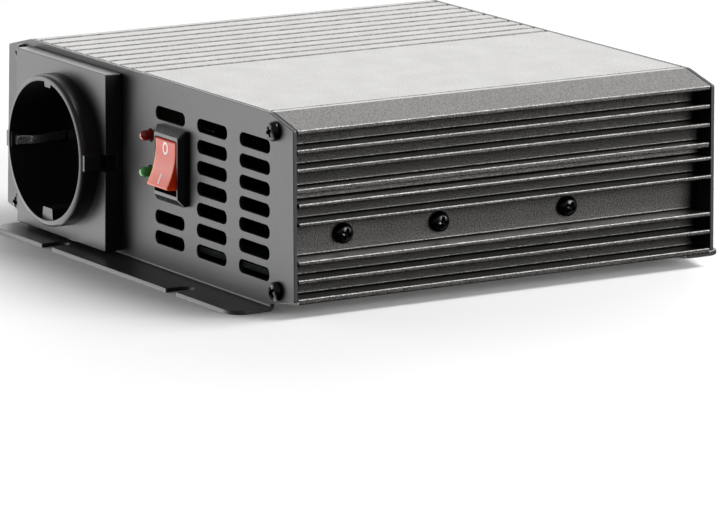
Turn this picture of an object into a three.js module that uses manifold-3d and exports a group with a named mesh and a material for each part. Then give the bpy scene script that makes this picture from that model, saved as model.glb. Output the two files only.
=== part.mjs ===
// Small power inverter: an aluminium case of two finned shells, closed by two bent steel panels.
// The front panel carries the mains socket, the rocker switch, two indicator lamps and air slots.
// The rear panel carries the fan and the two battery terminals. The circuit is inside.
// Millimetres. +X is right as seen from the front, +Y points to the rear and +Z is up.
// The origin is at the middle of the footprint, on the surface that the panel flanges stand on.

import * as THREE from "three";
import { mergeVertices } from "three/addons/utils/BufferGeometryUtils.js";
import Module from "manifold-3d";

const wasm = await Module();
wasm.setup();

// ---- driving dimensions -------------------------------------------------------------------

const GAP = 0.3; // clearance between pieces that touch on the real object

// case, overall
const CASE_LENGTH = 137; // outer face of the front panel to outer face of the rear panel
const CASE_HEIGHT = 54;
const SHEET = 1.2; // steel sheet of both panels
const FRONT = -CASE_LENGTH / 2;
const REAR = CASE_LENGTH / 2;
const SHELL_START = FRONT + SHEET + GAP;
const SHELL_LENGTH = CASE_LENGTH - 2 * (SHEET + GAP);

// panel outline: half widths, and the heights of its corners
const PANEL_TOP_HALF = 76.7;
const PANEL_BOTTOM_HALF = 77.8;
const TOP_FLAT_HALF = 64.8;
const TOP_CORNER_Z = 50.9;
const BOTTOM_FLAT_HALF = 66;
const BOTTOM_CORNER_Z = 4.6;
const BEND_Z = 1.8;
const BEND_INNER_RADIUS = BEND_Z - SHEET;

// flange that each panel stands on
const FLANGE_REACH = 12;
const FLANGE_CORNER_RADIUS = 5;
const FLANGE_SLOT_X = 34;
const FLANGE_SLOT_WIDTH = 5;
const FLANGE_SLOT_DEPTH = 7;

// shells
const WALL_INNER_HALF = 67.8;
const CEILING_Z = 51;
const FLOOR_OUTER_Z = 2.2;
const FLOOR_INNER_Z = 4.7;
const SHELL_JOINT_Z = 31.15;
const FIN_THICKNESS = 1.25;
const GROOVE_DEPTH = 6.2;
const CHANNEL_DEPTH = 7;
// fins from the lowest up: height of the fin's top edge, its thickness, depth of the groove above it
const BOTTOM_FINS = [
  { top: 5.35, thickness: 0, groove: GROOVE_DEPTH },
  { top: 10.55, thickness: FIN_THICKNESS, groove: GROOVE_DEPTH },
  { top: 15.55, thickness: FIN_THICKNESS, groove: CHANNEL_DEPTH },
  { top: 26, thickness: 1.1, groove: GROOVE_DEPTH },
  { top: SHELL_JOINT_Z, thickness: 1.1, groove: 0 },
];
const TOP_FINS = [
  { top: 35.05, thickness: 1.5, groove: 4.3 },
  { top: 40.45, thickness: FIN_THICKNESS, groove: GROOVE_DEPTH },
  { top: 45.65, thickness: FIN_THICKNESS, groove: GROOVE_DEPTH },
  { top: TOP_CORNER_Z, thickness: FIN_THICKNESS, groove: 0 },
];
const TOP_SHELL_FOOT_HALF = 72.7;
const TONGUE_INNER_HALF = 66;
const TONGUE_TOP_Z = 36;
const TONGUE_ROOT_Z = 29;

// grooves along the left half of the case top, and the fine line beside the right edge
const TOP_GROOVE_COUNT = 10;
const TOP_GROOVE_PITCH = 6.4;
const TOP_GROOVE_WIDTH = 1.8;
const TOP_GROOVE_DEPTH = 1.2;
const TOP_GROOVE_LAST_X = -4;
const TOP_LINE_X = 62.6;
const TOP_LINE_WIDTH = 0.8;
const TOP_LINE_DEPTH = 0.5;

// screws
const PANEL_SCREW_TOP = { x: 67.9, z: 49.5 };
const PANEL_SCREW_BOTTOM = { x: 69.6, z: 6.3 };
const PANEL_SCREW = { head: 2.7, dome: 1.9, shank: 1.3, length: 9 };
const SIDE_SCREW = { head: 2.9, dome: 2, shank: 1.5, length: 9 };
const FAN_SCREW = { head: 2.6, dome: 1.7, shank: 1.4, length: 9 };
const GROUND_SCREW = { head: 3.4, dome: 2.4, shank: 1.9, length: 9 };
const SIDE_SCREW_Y = [19.4, 50.2, 92].map((fromFront) => FRONT + fromFront);
const SIDE_SCREW_Z = 20.5;
const SCREW_SIDES = 10;
const CROSS_SLOT = { length: 2.9, width: 0.75, depth: 1.2 };

// air slots of the front panel: three columns, with the switch in place of the first one's middle
const SLOT = { width: 15.5, height: 3.7, corner: 1.65 };
const SLOT_COLUMNS_X = [13.2, 35.3, 57.4];
const SLOT_ROWS = 7;
const SLOT_TOP_Z = 44.6;
const SLOT_PITCH = 5.8;
const SWITCHED_ROWS = [1, 2, 3, 4];

// mains socket
const SOCKET = { x: -37.7, z: 27.4 };
const FACEPLATE_SIZE = 50;
const FACEPLATE_CORNER = 0.5;
const NOTCH = { width: 4.6, depth: 3.9 }; // in each side of the plate, beside the collar's key
const FACEPLATE_FRONT = FRONT - 5.4;
const COLLAR_FRONT = FRONT - 10.8;
const COLLAR_RADIUS = 21.5;
const KEY_SETBACK = 0.1; // the collar keys start this far behind its rim
const RIB_SETBACK = 1.2; // and the guide ribs this far
const CUP_RADIUS = 21.3;
const RECESS_RADIUS = 19.7;
const RECESS_FLOOR = COLLAR_FRONT + 17.5;
const CUP_BACK = RECESS_FLOOR + 2.5;
const PIN_SPACING = 19;
const PIN_HOLE_RADIUS = 2.75;
// guide ribs inside the recess: the upper one is slim, the lower one wide and tall
const GUIDE_RIBS = [
  { side: 1, halfWidth: 2.1, height: 1.8 },
  { side: -1, halfWidth: 3.1, height: 3.4 },
];
const RIB_TAPER = 0.6;
const KEY_BLOCK = { width: 4.6, height: 0.6 };
const SOCKET_SIDES = 48;
const COVER_DEPTH = 14.5;
const COVER_RADIUS = 20.8;
const COVER_WALL = 1.8;
const COVER_SIDES = 24;
const STRAP = { width: 2.6, thickness: 0.8, outerHalf: 18.4, setback: 1.3 };

// rocker switch
const SWITCH = { x: 15.8, z: 31.4 };
const BEZEL = { width: 15, height: 21, proud: 3, wall: 1.4, slopeIn: 1.25 };
const SWITCH_BODY = { width: 12.8, height: 19, depth: 12 };
const SWITCH_WINDOW = { width: 11.6, height: 15.4, depth: 9 };
const ROCKER = { halfLength: 6.65, halfWidth: 5.4, lip: 4.7, hollow: 1.1, root: 3.2 };
const ROCKER_TILT = 12; // degrees each side of the middle
const ROCKER_PIN_RADIUS = 1.2;

// indicator lamps
const LAMP_X = 2.6;
const LAMP_RED_Z = 37.6;
const LAMP_GREEN_Z = 27.4;
const LAMP_RADIUS = 1.5;
const LAMP_REACH = 3.4;

// fan, behind the rear panel
const FAN = { x: -38, z: 27.8, size: 40, depth: 10, bore: 19.2, screwSpacing: 32 };
const FAN_REAR = REAR - SHEET - GAP;
const FAN_FRONT = FAN_REAR - FAN.depth;
const FAN_SPIDER_DEPTH = 1.5;
const FAN_HUB_RADIUS = 8;
const FAN_BLADES = 7;

// battery terminals, on the rear panel
const TERMINAL_Z = 27.4;
const TERMINALS = { black: 14, red: 46 };
const STUD_RADIUS = 2.5;
const TERMINAL_BORE = STUD_RADIUS + GAP;
const TERMINAL_BASE_THICKNESS = 3;
const WASHER_THICKNESS = 1;
const KNOB_LENGTH = 6.6;
const KNOB_RADIUS = 7;
const GROUND = { x: 30, z: 11 };
const LEAD_RADIUS = 2.1;

// circuit board, with the parts that stand on it
const BOARD_BOTTOM_Z = 6.2;
const BOARD_THICKNESS = 1.6;
const BOARD_HALF_WIDTH = 65.8;
const BOARD_FRONT = FRONT + 8.5;
const BOARD_REAR = REAR - 14.5;
const BOARD_RIB = { x: 61, width: 1.5 };
const BOARD_TOP_Z = BOARD_BOTTOM_Z + BOARD_THICKNESS;
const SEAT_Z = BOARD_TOP_Z + GAP;

// ---- shapes and solids --------------------------------------------------------------------

const radians = THREE.MathUtils.degToRad;

/** A closed mesh as a solid for joining and cutting: shared corners merged, empty triangles out. */
function solidOf(geometry) {
  const bare = geometry.clone();
  bare.deleteAttribute("normal");
  bare.deleteAttribute("uv");
  const merged = mergeVertices(bare, 1e-4);
  const corners = merged.index.array;
  const kept = [];
  for (let i = 0; i < corners.length; i += 3) {
    const [a, b, c] = [corners[i], corners[i + 1], corners[i + 2]];
    if (a !== b && b !== c && c !== a) kept.push(a, b, c);
  }
  const vertProperties = new Float32Array(merged.attributes.position.array);
  const build = (triVerts) =>
    new wasm.Manifold(new wasm.Mesh({ numProp: 3, vertProperties, triVerts: Uint32Array.from(triVerts) }));
  const solid = build(kept);
  return solid.volume() > 0 ? solid : build(kept.reverse());
}

/** The solid's surface as a three.js geometry. */
function geometryOf(solid) {
  const mesh = solid.getMesh();
  const geometry = new THREE.BufferGeometry();
  geometry.setAttribute("position", new THREE.BufferAttribute(mesh.vertProperties, 3));
  geometry.setIndex(new THREE.BufferAttribute(mesh.triVerts, 1));
  geometry.computeVertexNormals();
  return geometry;
}

const joined = (solids) => solids.reduce((whole, next) => whole.add(next));

/** A closed outline through [x, y] points. */
function outline(points, holes = []) {
  const shape = new THREE.Shape(points.map(([x, y]) => new THREE.Vector2(x, y)));
  shape.holes.push(...holes);
  return shape;
}

/** A rectangle with round corners, centred on x, y. */
function roundedRectangle(x, y, width, height, radius) {
  const path = new THREE.Shape();
  const [right, top] = [x + width / 2, y + height / 2];
  const [left, bottom] = [x - width / 2, y - height / 2];
  path.moveTo(left + radius, bottom);
  path.absarc(right - radius, bottom + radius, radius, -Math.PI / 2, 0, false);
  path.absarc(right - radius, top - radius, radius, 0, Math.PI / 2, false);
  path.absarc(left + radius, top - radius, radius, Math.PI / 2, Math.PI, false);
  path.absarc(left + radius, bottom + radius, radius, Math.PI, Math.PI * 1.5, false);
  return path;
}

/** A circle about x, y, drawn with straight sides. */
function circle(x, y, radius, sides = 12) {
  const angles = Array.from({ length: sides }, (_, i) => (i * 2 * Math.PI) / sides);
  return outline(angles.map((angle) => [x + radius * Math.cos(angle), y + radius * Math.sin(angle)]));
}

/** A slot that follows an arc about x, y, between two radii and two angles. */
function arcSlot(x, y, inner, outer, start, end) {
  const path = new THREE.Shape();
  path.absarc(x, y, outer, start, end, false);
  path.absarc(x, y, inner, end, start, true);
  path.closePath();
  return path;
}

function extruded(shape, depth, curveSegments) {
  return new THREE.ExtrudeGeometry(shape, { depth, bevelEnabled: false, curveSegments });
}

/** An outline drawn in X and Z, carried from y to y + length. */
function alongY(shape, y, length, curveSegments = 4) {
  const geometry = extruded(shape, length, curveSegments);
  geometry.rotateX(Math.PI / 2).translate(0, y + length, 0);
  return solidOf(geometry);
}

/** An outline drawn in Y and Z, carried from x to x + length. */
function alongX(shape, x, length, curveSegments = 4) {
  const geometry = extruded(shape, length, curveSegments);
  const turn = new THREE.Matrix4().makeBasis(
    new THREE.Vector3(0, 1, 0),
    new THREE.Vector3(0, 0, 1),
    new THREE.Vector3(1, 0, 0),
  );
  geometry.applyMatrix4(turn).translate(x, 0, 0);
  return solidOf(geometry);
}

/** An outline drawn in X and Y, carried from z to z + height. */
function alongZ(shape, z, height, curveSegments = 4) {
  return solidOf(extruded(shape, height, curveSegments).translate(0, 0, z));
}

/** A box from its lowest to its highest corner. */
function box(low, high) {
  const size = high.map((value, axis) => value - low[axis]);
  const middle = high.map((value, axis) => (value + low[axis]) / 2);
  return solidOf(new THREE.BoxGeometry(...size).translate(...middle));
}

/** A profile of [radius, along] points turned about the Y axis, then moved to x, z. */
function turnedOnY(profile, x, z, sides) {
  const points = profile.map(([radius, along]) => new THREE.Vector2(radius, along));
  return solidOf(new THREE.LatheGeometry(points, sides).translate(x, 0, z));
}

/** A profile of [radius, height] points turned about a vertical axis at x, y. */
function turnedOnZ(profile, x, y, sides) {
  const points = profile.map(([radius, height]) => new THREE.Vector2(radius, height));
  return solidOf(new THREE.LatheGeometry(points, sides).rotateX(Math.PI / 2).translate(x, y, 0));
}

/** A ring profile, closed on itself, between two radii and two places on the axis. */
function ring(inner, outer, start, end) {
  return [[inner, start], [outer, start], [outer, end], [inner, end], [inner, start]];
}

/** A solid bar profile that starts and ends on the axis. */
function bar(radius, start, end) {
  return [[0, start], [radius, start], [radius, end], [0, end]];
}

// ---- the assembly -------------------------------------------------------------------------

const inverter = new THREE.Group();

function finish(color, roughness, metalness) {
  return new THREE.MeshStandardMaterial({ color, roughness, metalness });
}

const finishes = {
  anodised: finish(0x4a4a48, 0.5, 0.7),
  powderCoat: finish(0x222224, 0.6, 0.2),
  blackPlastic: finish(0x18181a, 0.45, 0),
  whitePlastic: finish(0xd8d6cf, 0.5, 0),
  rockerRed: finish(0xc8281c, 0.3, 0),
  lampRed: finish(0xb01010, 0.15, 0),
  lampGreen: finish(0x18701c, 0.15, 0),
  screwBlack: finish(0x0c0c0c, 0.25, 0.6),
  steel: finish(0xa8a8a8, 0.35, 1),
  brass: finish(0xc09a4a, 0.35, 1),
  board: finish(0x1f5a34, 0.5, 0),
  ferrite: finish(0x3a3a3c, 0.7, 0.1),
  copperWinding: finish(0xb86a30, 0.4, 0.6),
  sleeveBlue: finish(0x1c2c50, 0.35, 0),
  fuseYellow: finish(0xd8b020, 0.3, 0),
  leadRed: finish(0xa81818, 0.45, 0),
  leadBlack: finish(0x141414, 0.45, 0),
};

function addPiece(name, solid, material) {
  const mesh = new THREE.Mesh(geometryOf(solid), material);
  mesh.name = name;
  inverter.add(mesh);
}

/** Adds a piece whose solid is modelled about its own origin, at a place and a turn. */
function addPieceAt(name, solid, material, position, rotation = [0, 0, 0]) {
  const mesh = new THREE.Mesh(geometryOf(solid), material);
  mesh.name = name;
  mesh.position.set(...position);
  mesh.rotation.set(...rotation);
  inverter.add(mesh);
}

// ---- bent steel panels --------------------------------------------------------------------

/** The panel's outline from the front: chamfered corners, and a narrower foot at the bend. */
function panelOutline(holes) {
  const right = [
    [BOTTOM_FLAT_HALF, -1],
    [BOTTOM_FLAT_HALF, BEND_Z + 0.2],
    [PANEL_BOTTOM_HALF, BOTTOM_CORNER_Z],
    [PANEL_TOP_HALF, TOP_CORNER_Z],
    [TOP_FLAT_HALF, CASE_HEIGHT],
  ];
  const left = right.map(([x, z]) => [-x, z]).reverse();
  return outline([...right, ...left], holes);
}

/** The flange from above: round front corners and two open slots for fixing screws. */
function flangeOutline() {
  const front = -FLANGE_REACH;
  const slotEnd = front + FLANGE_SLOT_DEPTH - FLANGE_SLOT_WIDTH / 2;
  const half = FLANGE_SLOT_WIDTH / 2;
  const path = new THREE.Shape();
  path.moveTo(-BOTTOM_FLAT_HALF, 1);
  path.lineTo(-BOTTOM_FLAT_HALF, front + FLANGE_CORNER_RADIUS);
  path.absarc(-BOTTOM_FLAT_HALF + FLANGE_CORNER_RADIUS, front + FLANGE_CORNER_RADIUS,
    FLANGE_CORNER_RADIUS, Math.PI, Math.PI * 1.5, false);
  for (const x of [-FLANGE_SLOT_X, FLANGE_SLOT_X]) {
    path.lineTo(x - half, front);
    path.absarc(x, slotEnd, half, Math.PI, 0, true);
    path.lineTo(x + half, front);
  }
  path.absarc(BOTTOM_FLAT_HALF - FLANGE_CORNER_RADIUS, front + FLANGE_CORNER_RADIUS,
    FLANGE_CORNER_RADIUS, -Math.PI / 2, 0, false);
  path.lineTo(BOTTOM_FLAT_HALF, 1);
  return path;
}

/** One panel with its outer face at y = 0 and its flange bent forward along the bottom. */
function bentPanel(holes, curveSegments) {
  const section = new THREE.Shape();
  section.moveTo(-FLANGE_REACH, 0);
  section.lineTo(-BEND_INNER_RADIUS, 0);
  section.absarc(-BEND_INNER_RADIUS, BEND_Z, BEND_Z, -Math.PI / 2, 0, false);
  section.lineTo(SHEET, CASE_HEIGHT + 1);
  section.lineTo(0, CASE_HEIGHT + 1);
  section.absarc(-BEND_INNER_RADIUS, BEND_Z, BEND_INNER_RADIUS, 0, -Math.PI / 2, true);
  section.lineTo(-FLANGE_REACH, SHEET);
  const bent = alongX(section, -PANEL_BOTTOM_HALF, 2 * PANEL_BOTTOM_HALF, 5);
  const pierced = alongY(panelOutline(holes), -FLANGE_REACH - 1, FLANGE_REACH + 3, curveSegments);
  const aroundFlange = box([-90, -FLANGE_REACH - 1, -1], [90, -BEND_INNER_RADIUS, BEND_Z])
    .subtract(alongZ(flangeOutline(), -2, BEND_Z + 3));
  return bent.intersect(pierced).subtract(aroundFlange);
}

function panelScrewHoles(direction) {
  const places = [PANEL_SCREW_TOP, PANEL_SCREW_BOTTOM];
  const radius = PANEL_SCREW.shank + 0.4;
  return places.flatMap(({ x, z }) => [circle(-direction * x, z, radius), circle(direction * x, z, radius)]);
}

function airSlots() {
  const slots = [];
  SLOT_COLUMNS_X.forEach((x, column) => {
    for (let row = 0; row < SLOT_ROWS; row += 1) {
      const switchIsHere = column === 0 && SWITCHED_ROWS.includes(row);
      if (!switchIsHere) {
        slots.push(roundedRectangle(x, SLOT_TOP_Z - row * SLOT_PITCH, SLOT.width, SLOT.height, SLOT.corner));
      }
    }
  });
  return slots;
}

/** Three rings of arc slots in front of the fan, with four spokes left between them. */
function fanGrille(x, z) {
  const slots = [];
  for (const inner of [5.5, 10, 14.5]) {
    const outer = inner + 2.7;
    const halfSpoke = 1.5 / inner;
    for (let quarter = 0; quarter < 4; quarter += 1) {
      const start = (quarter * Math.PI) / 2;
      slots.push(arcSlot(x, z, inner, outer, start + halfSpoke, start + Math.PI / 2 - halfSpoke));
    }
  }
  return slots;
}

function addFrontPanel() {
  const holes = [
    ...airSlots(),
    ...panelScrewHoles(1),
    circle(SOCKET.x, SOCKET.z, CUP_RADIUS + 0.5, SOCKET_SIDES),
    roundedRectangle(SWITCH.x, SWITCH.z, SWITCH_BODY.width + 0.8, SWITCH_BODY.height + 0.8, 0.5),
    circle(LAMP_X, LAMP_RED_Z, LAMP_RADIUS + GAP),
    circle(LAMP_X, LAMP_GREEN_Z, LAMP_RADIUS + GAP),
  ];
  addPieceAt("front_panel", bentPanel(holes, 1), finishes.powderCoat, [0, FRONT, 0]);
}

function fanScrewPlaces() {
  const half = FAN.screwSpacing / 2;
  return [[-half, -half], [half, -half], [-half, half], [half, half]].map(([x, z]) => [FAN.x + x, FAN.z + z]);
}

/** The rear panel is the same blank turned round, so its holes are laid out with X reversed. */
function addRearPanel() {
  const holes = [
    ...fanGrille(-FAN.x, FAN.z),
    ...panelScrewHoles(-1),
    ...fanScrewPlaces().map(([x, z]) => circle(-x, z, FAN_SCREW.shank + 0.4)),
    ...Object.values(TERMINALS).map((x) => circle(-x, TERMINAL_Z, 5, 24)),
    circle(-GROUND.x, GROUND.z, GROUND_SCREW.shank + 0.4),
  ];
  addPieceAt("rear_panel", bentPanel(holes, 2), finishes.powderCoat, [0, REAR, 0], [0, 0, Math.PI]);
}

// ---- finned aluminium shells --------------------------------------------------------------

/** The right-hand edge of a finned side, from the bottom up, as [x, z] points. */
function finnedEdge(fins, tipX) {
  return fins.flatMap(({ top, thickness, groove }, i) => {
    const tip = thickness > 0 ? [[tipX, top - thickness], [tipX, top]] : [[tipX, top]];
    const next = fins[i + 1];
    const floor = next ? [[tipX - groove, top], [tipX - groove, next.top - next.thickness]] : [];
    return [...tip, ...floor];
  });
}

const mirrored = (points) => points.map(([x, z]) => [-x, z]).reverse();

/** The case top from right to left: the fine line beside the edge, then the row of grooves. */
function topSurface() {
  const points = [[TOP_FLAT_HALF, CASE_HEIGHT]];
  const cut = (x, width, depth) => points.push(
    [x + width / 2, CASE_HEIGHT],
    [x + width / 2 - depth / 3, CASE_HEIGHT - depth],
    [x - width / 2 + depth / 3, CASE_HEIGHT - depth],
    [x - width / 2, CASE_HEIGHT],
  );
  cut(TOP_LINE_X, TOP_LINE_WIDTH, TOP_LINE_DEPTH);
  for (let i = 0; i < TOP_GROOVE_COUNT; i += 1) {
    cut(TOP_GROOVE_LAST_X - i * TOP_GROOVE_PITCH, TOP_GROOVE_WIDTH, TOP_GROOVE_DEPTH);
  }
  points.push([-TOP_FLAT_HALF, CASE_HEIGHT]);
  return points;
}

/** A shell from its outline, with a hole along its whole length for the panel screws at each side. */
function finnedShell(points, screw) {
  const shell = alongY(outline(points), SHELL_START, SHELL_LENGTH);
  const holes = [-screw.x, screw.x].map((x) =>
    alongY(circle(x, screw.z, PANEL_SCREW.shank + GAP), SHELL_START - 1, SHELL_LENGTH + 2));
  return shell.subtract(joined(holes));
}

function addTopShell() {
  const footZ = SHELL_JOINT_Z + GAP;
  const side = [
    [WALL_INNER_HALF, footZ],
    [TOP_SHELL_FOOT_HALF, footZ],
    [TOP_SHELL_FOOT_HALF, TOP_FINS[0].top - TOP_FINS[0].thickness],
    ...finnedEdge(TOP_FINS, PANEL_TOP_HALF),
  ];
  const bossInner = PANEL_SCREW_TOP.x - 2.8;
  const bossBottom = PANEL_SCREW_TOP.z - 2.6;
  const inside = [
    [-WALL_INNER_HALF, bossBottom],
    [-bossInner, bossBottom],
    [-bossInner, CEILING_Z],
    [bossInner, CEILING_Z],
    [bossInner, bossBottom],
    [WALL_INNER_HALF, bossBottom],
  ];
  const section = [...side, ...topSurface(), ...mirrored(side), ...inside];
  addPiece("case_top_shell", finnedShell(section, PANEL_SCREW_TOP), finishes.anodised);
}

function addBottomShell() {
  const side = [
    [BOTTOM_FLAT_HALF, FLOOR_OUTER_Z],
    [PANEL_BOTTOM_HALF, BOTTOM_FINS[0].top - 1.55],
    ...finnedEdge(BOTTOM_FINS, PANEL_BOTTOM_HALF),
    [WALL_INNER_HALF - GAP, SHELL_JOINT_Z],
    [WALL_INNER_HALF - GAP, TONGUE_TOP_Z],
    [TONGUE_INNER_HALF, TONGUE_TOP_Z],
    [TONGUE_INNER_HALF, TONGUE_ROOT_Z + 1.8],
    [WALL_INNER_HALF, TONGUE_ROOT_Z],
    [WALL_INNER_HALF, PANEL_SCREW_BOTTOM.z + 2.7],
    [PANEL_SCREW_BOTTOM.x - 3, PANEL_SCREW_BOTTOM.z + 2.7],
    [PANEL_SCREW_BOTTOM.x - 3, FLOOR_INNER_Z],
  ];
  let shell = finnedShell([...side, ...mirrored(side)], PANEL_SCREW_BOTTOM);
  for (const x of [-BOARD_RIB.x, BOARD_RIB.x]) {
    shell = shell.add(box([x - BOARD_RIB.width / 2, SHELL_START, FLOOR_INNER_Z - 1],
      [x + BOARD_RIB.width / 2, SHELL_START + SHELL_LENGTH, BOARD_BOTTOM_Z - GAP]));
  }
  for (const y of SIDE_SCREW_Y) {
    shell = shell.subtract(alongX(circle(y, SIDE_SCREW_Z, SIDE_SCREW.shank + GAP), -80, 160));
  }
  addPiece("case_bottom_shell", shell, finishes.anodised);
}

// ---- screws -------------------------------------------------------------------------------

/** A pan-head cross-slot screw along Y: its head's underside at y = 0 and its shank towards +Y. */
function panHeadScrew({ head, dome, shank, length }) {
  const profile = [[0, -dome], [head * 0.65, -dome * 0.82], [head, -dome * 0.2], [head, 0], [shank, 0],
    [shank, length], [0, length]];
  const { length: arm, width, depth } = CROSS_SLOT;
  const blank = turnedOnY(profile, 0, 0, SCREW_SIDES);
  const slot = box([-arm / 2, -dome - 1, -width / 2], [arm / 2, -dome + depth, width / 2]);
  const cross = box([-width / 2, -dome - 1, -arm / 2], [width / 2, -dome + depth, arm / 2]);
  return blank.subtract(slot).subtract(cross);
}

function addScrews() {
  const panelScrew = panHeadScrew(PANEL_SCREW);
  const corners = [
    [-PANEL_SCREW_TOP.x, PANEL_SCREW_TOP.z],
    [PANEL_SCREW_TOP.x, PANEL_SCREW_TOP.z],
    [-PANEL_SCREW_BOTTOM.x, PANEL_SCREW_BOTTOM.z],
    [PANEL_SCREW_BOTTOM.x, PANEL_SCREW_BOTTOM.z],
  ];
  corners.forEach(([x, z], i) => {
    addPieceAt(`front_screw_${i + 1}`, panelScrew, finishes.screwBlack, [x, FRONT - GAP, z]);
    addPieceAt(`rear_screw_${i + 1}`, panelScrew, finishes.screwBlack, [x, REAR + GAP, z], [0, 0, Math.PI]);
  });
  const sideScrew = panHeadScrew(SIDE_SCREW);
  const seat = PANEL_BOTTOM_HALF - CHANNEL_DEPTH + GAP;
  SIDE_SCREW_Y.forEach((y, i) => {
    addPieceAt(`side_screw_right_${i + 1}`, sideScrew, finishes.screwBlack,
      [seat, y, SIDE_SCREW_Z], [0, 0, Math.PI / 2]);
    addPieceAt(`side_screw_left_${i + 1}`, sideScrew, finishes.screwBlack,
      [-seat, y, SIDE_SCREW_Z], [0, 0, -Math.PI / 2]);
  });
  fanScrewPlaces().forEach(([x, z], i) => {
    addPieceAt(`fan_screw_${i + 1}`, panHeadScrew(FAN_SCREW), finishes.screwBlack,
      [x, REAR + GAP, z], [0, 0, Math.PI]);
  });
  addPieceAt("ground_screw", panHeadScrew(GROUND_SCREW), finishes.steel,
    [GROUND.x, REAR + GAP, GROUND.z], [0, 0, Math.PI]);
}

// ---- mains socket -------------------------------------------------------------------------

function addSocketBody() {
  const { x, z } = SOCKET;
  const plateShape = roundedRectangle(x, z, FACEPLATE_SIZE, FACEPLATE_SIZE, FACEPLATE_CORNER);
  const plate = alongY(plateShape, FACEPLATE_FRONT, FRONT - GAP - FACEPLATE_FRONT, 3);
  const collar = turnedOnY(bar(COLLAR_RADIUS, COLLAR_FRONT, FRONT - 1), x, z, SOCKET_SIDES);
  const cup = turnedOnY(bar(CUP_RADIUS, FRONT - 2, CUP_BACK), x, z, SOCKET_SIDES);
  const keyReach = COLLAR_RADIUS + KEY_BLOCK.height;
  const keys = box([x - keyReach, COLLAR_FRONT + KEY_SETBACK, z - KEY_BLOCK.width / 2],
    [x + keyReach, FRONT - 2, z + KEY_BLOCK.width / 2]);
  const recess = turnedOnY(bar(RECESS_RADIUS, COLLAR_FRONT - 1, RECESS_FLOOR), x, z, SOCKET_SIDES);
  let body = joined([plate, collar, cup, keys]).subtract(recess);
  for (const { side, halfWidth, height } of GUIDE_RIBS) {
    const ribFoot = z + side * (RECESS_RADIUS + 0.8);
    const ribTip = z + side * (RECESS_RADIUS - height);
    const ribShape = outline([
      [x - halfWidth, ribFoot],
      [x - halfWidth + RIB_TAPER, ribTip],
      [x + halfWidth - RIB_TAPER, ribTip],
      [x + halfWidth, ribFoot],
    ]);
    body = body.add(alongY(ribShape, COLLAR_FRONT + RIB_SETBACK, RECESS_FLOOR - COLLAR_FRONT + 0.3));
    const notchEnds = [x + side * keyReach, x + side * (FACEPLATE_SIZE / 2 + 1)];
    body = body.subtract(box([Math.min(...notchEnds), FACEPLATE_FRONT - 1, z - NOTCH.width / 2],
      [Math.max(...notchEnds), FACEPLATE_FRONT + NOTCH.depth, z + NOTCH.width / 2]));
    const pinZ = z + (side * PIN_SPACING) / 2;
    body = body.subtract(turnedOnY(bar(PIN_HOLE_RADIUS, RECESS_FLOOR - 1, CUP_BACK + 1), x, pinZ, 16));
    const strapX = x + side * (STRAP.outerHalf - STRAP.thickness / 2);
    const halfSlit = STRAP.thickness / 2 + GAP;
    body = body.subtract(box(
      [strapX - halfSlit, RECESS_FLOOR - 1, z - STRAP.width / 2 - GAP],
      [strapX + halfSlit, CUP_BACK + 1, z + STRAP.width / 2 + GAP],
    ));
  }
  addPiece("socket_body", body, finishes.blackPlastic);
}

/** The earth strap: a strip bent to a U behind the cup, both ends curved in beside the plug. */
function addEarthStrap() {
  const back = CUP_BACK + GAP + STRAP.thickness;
  const tip = COLLAR_FRONT + STRAP.setback;
  const middle = (RECESS_FLOOR + tip) / 2 - 2;
  const outer = [
    [STRAP.outerHalf, back],
    [STRAP.outerHalf, RECESS_FLOOR - 2],
    [STRAP.outerHalf - 1.9, middle],
    [STRAP.outerHalf - 0.2, tip + 1],
    [STRAP.outerHalf, tip],
  ];
  const inner = outer.slice(1).map(([x, y]) => [x - STRAP.thickness, y]).reverse();
  const right = [...outer, ...inner, [STRAP.outerHalf - STRAP.thickness, back - STRAP.thickness]];
  const left = right.map(([x, y]) => [-x, y]).reverse();
  const shape = outline([...right, ...left].map(([x, y]) => [SOCKET.x + x, y]));
  addPiece("earth_strap", alongZ(shape, SOCKET.z - STRAP.width / 2, STRAP.width), finishes.steel);
}

function addSocketRear() {
  const { x, z } = SOCKET;
  const coverFront = CUP_BACK + GAP;
  const coverBack = coverFront + COVER_DEPTH;
  let cover = turnedOnY(bar(COVER_RADIUS, coverFront, coverBack), x, z, COVER_SIDES);
  const hollow = turnedOnY(bar(COVER_RADIUS - COVER_WALL, coverFront - 1, coverBack - 2), x, z, COVER_SIDES);
  cover = cover.subtract(hollow);
  const contact = turnedOnY(ring(2.45, 3.3, CUP_BACK + GAP, coverBack - 2 - GAP), 0, 0, 16);
  for (const [name, side] of [["upper", 1], ["lower", -1]]) {
    const contactZ = z + (side * PIN_SPACING) / 2;
    cover = cover.subtract(turnedOnY(bar(2, coverBack - 3, coverBack + 1), x, contactZ, 12));
    addPieceAt(`socket_contact_${name}`, contact, finishes.brass, [x, 0, contactZ]);
  }
  addPiece("socket_back_cover", cover, finishes.whitePlastic);
}

// ---- rocker switch and lamps --------------------------------------------------------------

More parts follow.
